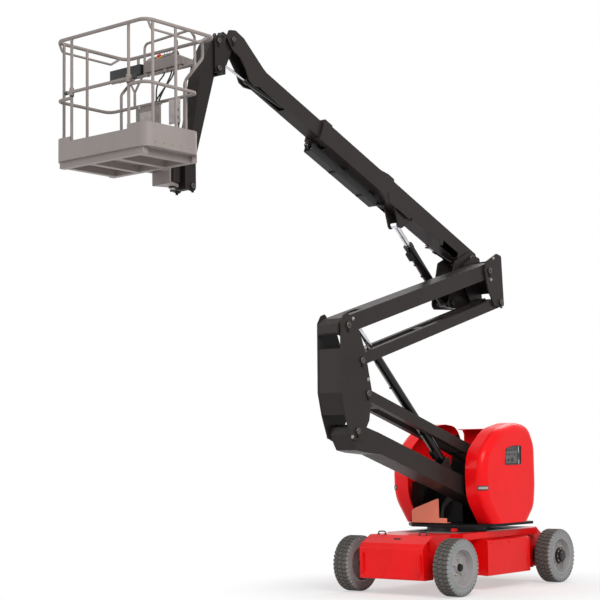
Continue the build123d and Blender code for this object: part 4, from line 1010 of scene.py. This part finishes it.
def wrapped_strip(sign, start, end, inside, outside, half_height):
    """A strip wrapped round the hood's front edge, between two angles from the sideways direction."""
    centre = Vector((LATCH_PLACE.x, sign * LATCH_PLACE.y, LATCH_PLACE.z))
    middle, half = (inside + outside) / 2, (outside - inside) / 2
    section = [(middle + across, z) for across, z in rectangle(half, half_height)]
    rings = []
    for i in range(STRIP_STEPS + 1):
        angle = math.radians(start + (end - start) * i / STRIP_STEPS)
        out = Vector((math.sin(angle), sign * math.cos(angle), 0))
        rings.append([centre + out * radius + Z * z for radius, z in section])
    return Shape().skin(rings)


def rounded(points, radius, steps=5):
    """A closed outline in (x, z) with each corner turned into an arc-like bend."""
    corners = [Vector(point) for point in points]
    line = []
    for i, corner in enumerate(corners):
        before = (corners[i - 1] - corner).normalized() * radius
        after = (corners[(i + 1) % len(corners)] - corner).normalized() * radius
        shares = (k / steps for k in range(steps + 1))
        line += [corner + before * (1 - share) ** 2 + after * share**2 for share in shares]
    return line


class BOOMLIFT_OT_hood_trim(bpy.types.Operator):
    """Latches on both hoods, and the frame and clear cover of the left one's window"""

    bl_idname = "boomlift.hood_trim"
    bl_label = "Hood trim"

    def execute(self, context):
        for side, sign in SIDES:
            cup = wrapped_strip(sign, *LATCH_CUP)
            cup.piece(f"latch_cup_{side}", f"{side}_hood", "tray_black", 30, bevel=0.0012)
            bar = wrapped_strip(sign, *LATCH_BAR)
            bar.piece(f"latch_bar_{side}", f"{side}_hood", "pale_grey", 40, bevel=0.0015)
        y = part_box("hood_left")[1].y - 0.001
        edge = [Vector((point.x, y, point.y)) for point in rounded(WINDOW, WINDOW_ROUNDING)]
        Shape().swept([*edge, edge[0]], 0.005, 8).piece("window_gasket", "left_hood", "hose_rubber", 60)
        cover = Shape().skin([[point - Y * depth for point in edge] for depth in (0.004, 0.002)])
        cover.piece("window_cover", "left_hood", "window_clear", 20)
        return {"FINISHED"}


GROUND_STOP = [(0, 0.024), (0.010, 0.024), (0.010, 0.014), (0.016, 0.014), (0.017, 0.020), (0.026, 0.020)]
GROUND_STOP += [(0.029, 0.015)]
GAUGE = [(0, 0.028), (0.008, 0.028), (0.010, 0.026), (0.010, 0.022), (0.007, 0.022)]
GROUND_RING = head(0.011, 0.006, 0.007, 0.009)
GROUND_LEVER = [(0, 0.0045), (0.012, 0.0038), (0.020, 0.0052), (0.022, 0.003)]


class BOOMLIFT_OT_ground_controls(bpy.types.Operator):
    """Plate, stop button, switches, key and gauge on the control box behind the window"""

    bl_idname = "boomlift.ground_controls"
    bl_label = "Ground controls"

    def execute(self, context):
        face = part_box("ground_controls")[1].y - SUNK
        plate = Shape().plate(rectangle(0.150, 0.092), (-0.235, face, 1.450), -X, Z, 0.003, 0.001)
        plate.piece("control_plate", "turret", "lamp_white", 30)
        stop = (-0.115, face, 1.385)
        Shape().turned(stop, Y, GROUND_STOP, 28).piece("ground_stop", "turret", "button_red", 35)
        ring = Shape().turned(stop, Y, head(0.031, 0.0045, 0.006, 0.029), 28)
        ring.piece("ground_stop_ring", "turret", "button_yellow", 35)
        knobs, toggles = Shape(), Shape()
        # The upper row of levers points down, the lower one up
        for z, lean in ((1.505, -0.45), (1.455, 0.45)):
            for k in range(5):
                at = Vector((-0.125 - k * 0.052, face + 0.002, z))
                knobs.turned(at, Y, GROUND_RING, 18)
                toggles.turned(at + Y * 0.004, Y + Z * lean, GROUND_LEVER, 12)
        knobs.turned((-0.200, face + 0.002, 1.395), Y, head(0.017, 0.008, 0.010, 0.014))
        knobs.plate(rectangle(0.004, 0.015), (-0.200, face + 0.010, 1.395), -X, Z, 0.009)
        knobs.piece("control_knobs", "turret", "hose_rubber", 35)
        toggles.piece("control_toggles", "turret", "screw_steel", 45)
        gauge = Shape().turned((-0.275, face + 0.002, 1.395), Y, GAUGE, 32)
        gauge.piece("control_gauge", "turret", "case_grey", 35)
        return {"FINISHED"}


RING_SCREWS, RING_CIRCLE = 28, 0.316
# Middles of the hoods' hinge pins, and half the length between their heads
HINGE_HEIGHTS, HINGE_HALF = (1.220, 1.430), 0.0335
# First hose from the turntable to the tower arm: x, y, z, then the step in x and z to the next one
TURRET_RUN = [
    (0.20, 0.0, 0.699, -0.03, 0.0),
    (0.20, 0.0, 0.78, -0.03, 0.0),
    (0.16, 0.004, 0.88, -0.03, 0.01),
    (0.02, 0.008, 0.955, -0.02, 0.012),
    (-0.115, 0.01, 0.985, 0.0, 0.012),
]


class BOOMLIFT_OT_turret_trim(bpy.types.Operator):
    """Ring screws, hinge-pin heads and the hoses down through the slewing ring"""

    bl_idname = "boomlift.turret_trim"
    bl_label = "Turret trim"

    def execute(self, context):
        ring = Shape()
        top = Z * (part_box("slew_ring")[1].z - SUNK)
        for at in circle(top, X, Y, RING_CIRCLE, RING_SCREWS, 0.5):
            ring.screw(at, Z, 0.016, washer=False)
        ring.piece("ring_screws", "chassis", "screw_steel", 30)
        caps = Shape()
        for side, _ in SIDES:
            hinge = pivot(f"hood_{side}_open")
            for z in HINGE_HEIGHTS:
                for up in (-1, 1):
                    foot = (hinge.x, hinge.y, z + up * HINGE_HALF)
                    caps.turned(foot, Z * up, head(0.0085, 0.004, 0.006, 0.005), 18)
        caps.piece("hinge_heads", "turret", "screw_steel", 35)
        hoses = Shape()
        for i in range(4):
            start = -0.045 - 0.027 * i
            path = [(x + x_step * i, start + y, z + z_step * i) for x, y, z, x_step, z_step in TURRET_RUN]
            hoses.hose(path, sizes().hose_radius, 9)
        hoses.piece("turret_hoses", "turret", "hose_rubber", 60)
        return {"FINISHED"}


DECK = 0.620
# Tie-down loops, one on each side: (ahead of the chassis's front, z)
LOOP_PATH = [(-0.004, 0.230), (0.012, 0.232), (0.024, 0.246), (0.026, 0.270)]
LOOP_PATH += [(0.026, 0.400), (0.024, 0.424), (0.012, 0.438), (-0.004, 0.440)]
LOOP_Y = 0.375
# Deck hooks: their places, then (to the left of the middle, z)
HOOK_X, HOOK_Y = 1.030, 0.27
HOOK_PATH = [(-0.045, 0.612), (-0.045, 0.640), (-0.030, 0.652)]
HOOK_PATH += [(0.030, 0.652), (0.045, 0.640), (0.045, 0.612)]
CABLE_PATH = [(0.445, 0.433, 0.350), (0.447, 0.432, 0.300), (0.430, 0.424, 0.262), (0.385, 0.4165, 0.250)]


class BOOMLIFT_OT_chassis_trim(bpy.types.Operator):
    """Tie-down loops, deck hooks, cover screws, the deck's red stop and the side junction box"""

    bl_idname = "boomlift.chassis_trim"
    bl_label = "Chassis trim"

    def execute(self, context):
        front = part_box("chassis_frame")[1].x
        loops = Shape()
        for y in (-LOOP_Y, LOOP_Y):
            loops.swept([(front + ahead, y, z) for ahead, z in LOOP_PATH], 0.011, 14)
            for z in (LOOP_PATH[0][1], LOOP_PATH[-1][1]):
                loops.turned((front - 0.001, y, z), X, head(0.020, 0.004, 0.006, 0.017), 20)
        loops.piece("tie_down_loops", "chassis", "box_red", 50)
        # Two deck hooks and the middle clip on the front cover
        hooks = Shape()
        for y in (-HOOK_Y, HOOK_Y):
            hooks.hose([(HOOK_X, y + left, z) for left, z in HOOK_PATH], 0.007, 6, 12)
            for end in (HOOK_PATH[0][0], HOOK_PATH[-1][0]):
                hooks.turned((HOOK_X, y + end, DECK - SUNK), Z, head(0.016, 0.006, 0.008, 0.013), 20)
        hooks.plate(rectangle(0.045, 0.010), (1.125, 0.0, 0.580), Y, (-0.47, 0, 0.88), 0.006, 0.002)
        hooks.piece("deck_hooks", "chassis", "tray_black", 40)
        stop = Shape().block((0.360, 0.205, DECK - SUNK), (0.420, 0.265, 0.662), 0.006)
        stop.piece("slew_stop", "chassis", "box_red", 40)
        screws = Shape()
        for _, sign in SIDES:
            for x in (-0.49, -0.13, 0.23):
                screws.screw((x, sign * 0.5995, 0.505), Y * sign, 0.015)
        for y in (-0.34, -0.12, 0.12, 0.34):
            screws.screw((front - SUNK, y, 0.205), X, 0.014)
        screws.piece("cover_screws", "chassis", "box_red", 30)
        junction = Shape().block((0.420, 0.4145, 0.365), (0.520, 0.452, 0.455), 0.006)
        junction.piece("junction_box", "chassis", "case_grey", 40)
        glands = Shape()
        for x in (0.445, 0.495):
            glands.turned((x, 0.433, 0.366), -Z, gland(0.011, 0.012, 0.014, 0.008, 0.022), 6)
        glands.hose(CABLE_PATH, 0.005)
        glands.piece("junction_glands", "chassis", "hose_rubber", 50)
        return {"FINISHED"}


# ---- platform


# Lower edge of the console's sloping face, and its ridge
CONSOLE_EDGE, CONSOLE_RIDGE = Vector((4.615, 0.0, 5.116)), Vector((4.540, 0.0, 5.183))
STICK_FOOT = Vector((4.505, 0.085, 5.168))
STICK_BOOT = [(0, 0.033), (0.006, 0.033), (0.012, 0.026), (0.018, 0.028), (0.024, 0.021), (0.030, 0.022)]
STICK_BOOT += [(0.036, 0.014)]
STICK_GRIP = [(0, 0.010), (0.030, 0.0105), (0.045, 0.015), (0.075, 0.0175), (0.098, 0.015), (0.106, 0.008)]
PLATFORM_STOP = [(0, 0.019), (0.012, 0.019), (0.013, 0.022), (0.022, 0.021), (0.025, 0.015)]
CONSOLE_LEVER = [(0, 0.004), (0.012, 0.0034), (0.018, 0.0048), (0.020, 0.003)]


class BOOMLIFT_OT_console_trim(bpy.types.Operator):
    """Joystick, stop button, switches, horn button and clamps of the platform's console"""

    bl_idname = "boomlift.console_trim"
    bl_label = "Console"

    def execute(self, context):
        # The sloping face rises from its rear edge to the ridge
        along = (CONSOLE_RIDGE - CONSOLE_EDGE).normalized()
        out = Y.cross(along)

        def on_face(up, y):
            return CONSOLE_EDGE + along * up + Y * y - out * 0.001

        stick = Shape().turned(STICK_FOOT, Z, STICK_BOOT, 28)
        stick.turned(STICK_FOOT + Z * 0.030, (-0.06, 0, 1), STICK_GRIP)
        stick.piece("joystick", "platform", "hose_rubber", 50)
        at = on_face(0.050, -0.050)
        Shape().turned(at, out, PLATFORM_STOP, 28).piece("platform_stop", "platform", "button_red", 35)
        ring = Shape().turned(at, out, head(0.027, 0.005, 0.007, 0.024), 28)
        ring.piece("platform_stop_ring", "platform", "button_yellow", 35)
        knobs, toggles = Shape(), Shape()
        for k in range(4):
            for up in (0.030, 0.066):
                at = on_face(up, 0.005 + k * 0.034)
                knobs.turned(at, out, head(0.010, 0.005, 0.006, 0.008), 18)
                toggles.turned(at + out * 0.003, out + along * 0.4, CONSOLE_LEVER, 12)
        knobs.piece("console_knobs", "platform", "hose_rubber", 35)
        toggles.piece("console_toggles", "platform", "screw_steel", 45)
        horn = Shape().turned(on_face(0.050, -0.115), out, head(0.012, 0.007, 0.009, 0.009), 20)
        horn.piece("horn_button", "platform", "button_green", 35)
        clamps = Shape()
        for y in (-0.205, 0.040, 0.235):
            clamps.block((4.562, y - 0.018, 4.990), (4.608, y + 0.018, 5.0215), 0.003)
        clamps.piece("console_clamps", "platform", "basket_grey", 35)
        return {"FINISHED"}


SOCKET = [(0, 0.017), (0.008, 0.017), (0.010, 0.014), (0.010, 0.009), (0.004, 0.009)]
SOCKET_CABLE = [(4.605, 0.214, 4.465), (4.606, 0.212, 4.420), (4.600, 0.190, 4.385), (4.600, 0.150, 4.372)]
SOCKET_CABLE += [(4.600, 0.100, 4.3705)]
PEDAL_CABLE = [(4.762, -0.225, 4.178), (4.715, -0.225, 4.176), (4.665, -0.215, 4.176), (4.640, -0.195, 4.178)]
# Cables below the console: Y at its gland, the sideways bow of the hanging run, and Y at the document box
CABLE_RUNS = [(0.000, -0.030, -0.045), (0.085, 0.020, -0.025), (0.120, 0.012, -0.070)]


class BOOMLIFT_OT_platform_boxes(bpy.types.Operator):
    """Document box, pale panel, cables below the console and the foot switch"""

    bl_idname = "boomlift.platform_boxes"
    bl_label = "Platform boxes"

    def execute(self, context):
        case = Shape().block((4.604, -0.300, 4.480), (4.652, 0.000, 4.700), 0.010, 3)
        case.block((4.600, -0.306, 4.690), (4.656, 0.006, 4.712), 0.006)
        case.piece("document_box", "platform", "case_grey", 40)
        band = Shape().block((4.651, -0.238, 4.520), (4.6535, -0.062, 4.640), 0.001)
        for y in (-0.240, -0.060):
            band.block((4.650, y - 0.012, 4.672), (4.662, y + 0.012, 4.706), 0.003)
        band.piece("document_latches", "platform", "pale_grey", 40)
        panel = Shape().block((4.600, 0.092, 4.490), (4.610, 0.236, 4.716), 0.003)
        panel.piece("manifold_panel", "platform", "pale_grey", 40)
        socket = Shape()
        for z in (4.540, 4.610):
            socket.turned((4.6095, 0.200, z), X, SOCKET)
        socket.turned((4.605, 0.214, 4.492), -Z, gland(0.011, 0.016, 0.018, 0.008, 0.030), 12)
        socket.hose(SOCKET_CABLE, 0.007).piece("panel_sockets", "platform", "hose_rubber", 40)
        cables, glands = Shape(), Shape()
        for y, bow, y_end in CABLE_RUNS:
            path = [
                (4.560, y, 5.024),
                (4.570, y + 0.25 * bow, 4.975),
                (4.612, y + 0.8 * bow, 4.910),
                (4.624, 0.7 * y + 0.3 * y_end + bow, 4.850),
                (4.628, 0.3 * y + 0.7 * y_end + 0.5 * bow, 4.775),
                (4.628, y_end, 4.706),
            ]
            cables.hose(path, 0.0075)
            glands.turned((4.560, y, 5.0225), -Z, gland(0.013, 0.010, 0.012, 0.010, 0.022), 6)
        cables.piece("console_cables", "platform", "hose_rubber", 60)
        glands.piece("console_glands", "platform", "tray_black", 30)
        pedal = Shape().block((4.760, -0.290, 4.168), (4.920, -0.160, 4.182), 0.004)
        pedal.block((4.770, -0.282, 4.182), (4.905, -0.168, 4.204), 0.006, 3)
        pedal.hose(PEDAL_CABLE, 0.006).piece("foot_switch", "platform", "tray_black", 40)
        return {"FINISHED"}


BAR_X = 5.242  # The sliding bar's place along the machine
BAR_COLLAR = [(0, 0.0185), (0.010, 0.0195), (0.012, 0.0165)]
BAR_GRIP = [(0, 0.0165), (0.002, 0.0185), (0.034, 0.0185), (0.0385, 0.0165)]
# Middle of the rotator's shaft, and half its height
ROTATOR, ROTATOR_HALF = Vector((4.3409, -0.135, 4.1329)), 0.165


class BOOMLIFT_OT_rail_trim(bpy.types.Operator):
    """Toe-board screws, stops and grips of the sliding bar, and the ends of the rotator's shaft"""

    bl_idname = "boomlift.rail_trim"
    bl_label = "Rail trim"

    def execute(self, context):
        low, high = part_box("basket_floor")
        screws = Shape()
        for k in range(5):
            for sign, y in ((1, high.y), (-1, low.y)):
                place = (4.72 + k * 0.105, y - sign * SUNK, low.z + 0.222)
                screws.screw(place, Y * sign, 0.012, washer=False)
        screws.piece("toe_board_screws", "platform", "screw_steel", 30)
        low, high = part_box("entry_bar")
        collars = Shape()
        for y in (-0.505, 0.235):
            collars.turned((BAR_X, y, low.z - 0.012), Z, BAR_COLLAR)
        collars.piece("bar_stops", "platform", "hose_rubber", 40)
        ends = Shape()
        for y, sign in ((low.y, -1), (high.y, 1)):
            ends.turned((BAR_X, y - sign * 0.038, (low.z + high.z) / 2), Y * sign, BAR_GRIP)
        ends.piece("bar_grips", "platform_bar", "hose_rubber", 40)
        pivots = Shape()
        for up in (1, -1):
            end = ROTATOR + Z * up * ROTATOR_HALF
            pivots.turned(end - Z * up * SUNK, Z * up, head(0.030, 0.005, 0.008, 0.026), 28)
            for at in circle(end + Z * up * 0.007, X, Y, 0.021, 6, 0.5):
                pivots.screw(at, Z * up, 0.008, washer=False)
        pivots.piece("rotator_ends", "carrier_link", "screw_steel", 35)
        return {"FINISHED"}


# ---- stage


FLOOR_RADIUS = 60.0
FLOOR_GAP = 0.0005  # From the tyres down to the floor
# Light of the white surroundings on the object; the camera sees them at full strength
AMBIENT = 0.42
# Name, place, target, edge length, power and colour of each lamp
LAMPS = [
    ("key", (7.0, 9.0, 9.5), (0.6, 0.0, 2.0), 7.0, 1150, (1.0, 0.99, 0.975)),
    ("fill", (11.0, -7.5, 4.5), (1.0, 0.0, 2.4), 8.0, 330, (0.97, 0.985, 1.0)),
    ("rim", (-8.0, -2.0, 9.0), (0.5, 0.0, 3.0), 5.0, 320, (1.0, 1.0, 1.0)),
]
# The camera's place, and its yaw, pitch and roll in radians
CAMERA_PLACE = (14.1259, 9.5621, 1.5429)
YAW, PITCH, ROLL = -2.4457, 0.0993, -0.0145


def linked(name, data):
    """A new object in the scene."""
    made = bpy.data.objects.new(name, data)
    bpy.context.scene.collection.objects.link(made)
    return made


def lamp(name, place, target, size, power, colour):
    """A square area lamp that looks at a point."""
    light = bpy.data.lights.new(name, "AREA")
    light.shape = "SQUARE"
    light.size = size
    light.energy = power
    light.color = colour
    made = linked(name, light)
    place, target = Vector(place), Vector(target)
    made.matrix_world = Matrix.LocRotScale(place, (target - place).to_track_quat("-Z", "Y"), None)
    return made


def studio_world():
    """White to the camera and through clear and glossy paths, softer as a light on the object."""
    world = bpy.data.worlds.new("studio")
    bpy.context.scene.world = world
    world.use_nodes = True
    world.node_tree.nodes.clear()
    graph = Graph(world.node_tree)
    soft = graph.node("ShaderNodeBackground", {}, {"Color": WHITE, "Strength": AMBIENT})
    white = graph.node("ShaderNodeBackground", {}, {"Color": WHITE, "Strength": 1.0})
    blend = graph.node("ShaderNodeMixShader", {}, {0: graph.seen(), 1: soft, 2: white})
    graph.node("ShaderNodeOutputWorld", {}, {"Surface": blend})


def floor_white():
    """Matt pale floor that the camera sees fade to white away from the machine."""
    recipe = Recipe("floor_white", Roughness=0.8, Specular_IOR_Level=0.1, Base_Color=(0.88, 0.88, 0.88, 1.0))
    along, left, _ = recipe.axes()
    reach = ((along - 0.1) * (along - 0.1) + left * left) ** 0.5
    fade = recipe.seen() * (0.5 + reach.rise(1.2, 2.8) * 0.5)
    glow = recipe.node("ShaderNodeEmission", {}, {"Strength": 1.0})
    lit = Field(recipe, recipe.shader.outputs[0])
    blend = recipe.node("ShaderNodeMixShader", {}, {0: fade, 1: lit, 2: glow})
    recipe.tree.links.new(blend.socket, recipe.tree.nodes["Material Output"].inputs["Surface"])
    return recipe.material


class BOOMLIFT_OT_stage(bpy.types.Operator):
    """Pale floor, soft lamps, white world and the camera"""

    bl_idname = "boomlift.stage"
    bl_label = "Studio"

    def execute(self, context):
        mesh = bmesh.new()
        bmesh.ops.create_circle(mesh, cap_ends=True, segments=96, radius=FLOOR_RADIUS)
        data = bpy.data.meshes.new("floor")
        mesh.to_mesh(data)
        mesh.free()
        data.materials.append(floor_white())
        floor = linked("floor", data)
        floor.location.z = CAD_LOW[2] - FLOOR_GAP
        lamps = [lamp(*row) for row in LAMPS]
        camera_data = bpy.data.cameras.new("camera")
        camera_data.lens = 90.0
        camera_data.sensor_width = 36.0
        camera_data.clip_end = 200.0
        camera = linked("camera", camera_data)
        flat = math.cos(PITCH)
        forward = Vector((flat * math.cos(YAW), flat * math.sin(YAW), math.sin(PITCH)))
        right = forward.cross(Z).normalized()
        up = right.cross(forward)
        side = right * math.cos(ROLL) + up * math.sin(ROLL)
        top = up * math.cos(ROLL) - right * math.sin(ROLL)
        turn = Matrix((side, top, -forward)).transposed().to_4x4()
        camera.matrix_world = Matrix.Translation(CAMERA_PLACE) @ turn
        context.scene.camera = camera
        context.scene.view_settings.view_transform = "Standard"
        studio_world()
        return {"FINISHED"}


# ---- add-on


OPERATORS = (
    BOOMLIFT_OT_paint,
    BOOMLIFT_OT_tyres,
    BOOMLIFT_OT_wheel_trim,
    BOOMLIFT_OT_pins,
    BOOMLIFT_OT_plate_screws,
    BOOMLIFT_OT_cylinder_pipes,
    BOOMLIFT_OT_boom_hoses,
    BOOMLIFT_OT_hood_trim,
    BOOMLIFT_OT_ground_controls,
    BOOMLIFT_OT_turret_trim,
    BOOMLIFT_OT_chassis_trim,
    BOOMLIFT_OT_console_trim,
    BOOMLIFT_OT_platform_boxes,
    BOOMLIFT_OT_rail_trim,
    BOOMLIFT_OT_stage,
)


class BOOMLIFT_PT_panel(bpy.types.Panel):
    """Sidebar panel with the settings and one button a piece"""

    bl_idname = "BOOMLIFT_PT_panel"
    bl_label = "Boom lift"
    bl_space_type = "VIEW_3D"
    bl_region_type = "UI"
    bl_category = "Boom lift"

    def draw(self, context):
        for group in (context.scene.boomlift_colours, context.scene.boomlift_sizes):
            column = self.layout.column(align=True)
            for name in group.bl_rna.properties.keys():
                if name not in ("rna_type", "name"):
                    column.prop(group, name)
        for operator in OPERATORS:
            self.layout.operator(operator.bl_idname)


CLASSES = (BoomliftColours, BoomliftSizes, *OPERATORS, BOOMLIFT_PT_panel)


def register():
    for cls in CLASSES:
        bpy.utils.register_class(cls)
    bpy.types.Scene.boomlift_colours = bpy.props.PointerProperty(type=BoomliftColours)
    bpy.types.Scene.boomlift_sizes = bpy.props.PointerProperty(type=BoomliftSizes)


def unregister():
    del bpy.types.Scene.boomlift_sizes
    del bpy.types.Scene.boomlift_colours
    for cls in reversed(CLASSES):
        bpy.utils.unregister_class(cls)


def main():
    """Builds every piece in order."""
    register()
    for operator in OPERATORS:
        group, name = operator.bl_idname.split(".")
        if getattr(getattr(bpy.ops, group), name)() != {"FINISHED"}:
            raise RuntimeError(f"{operator.bl_idname} did not finish")


if __name__ == "__main__":
    main()
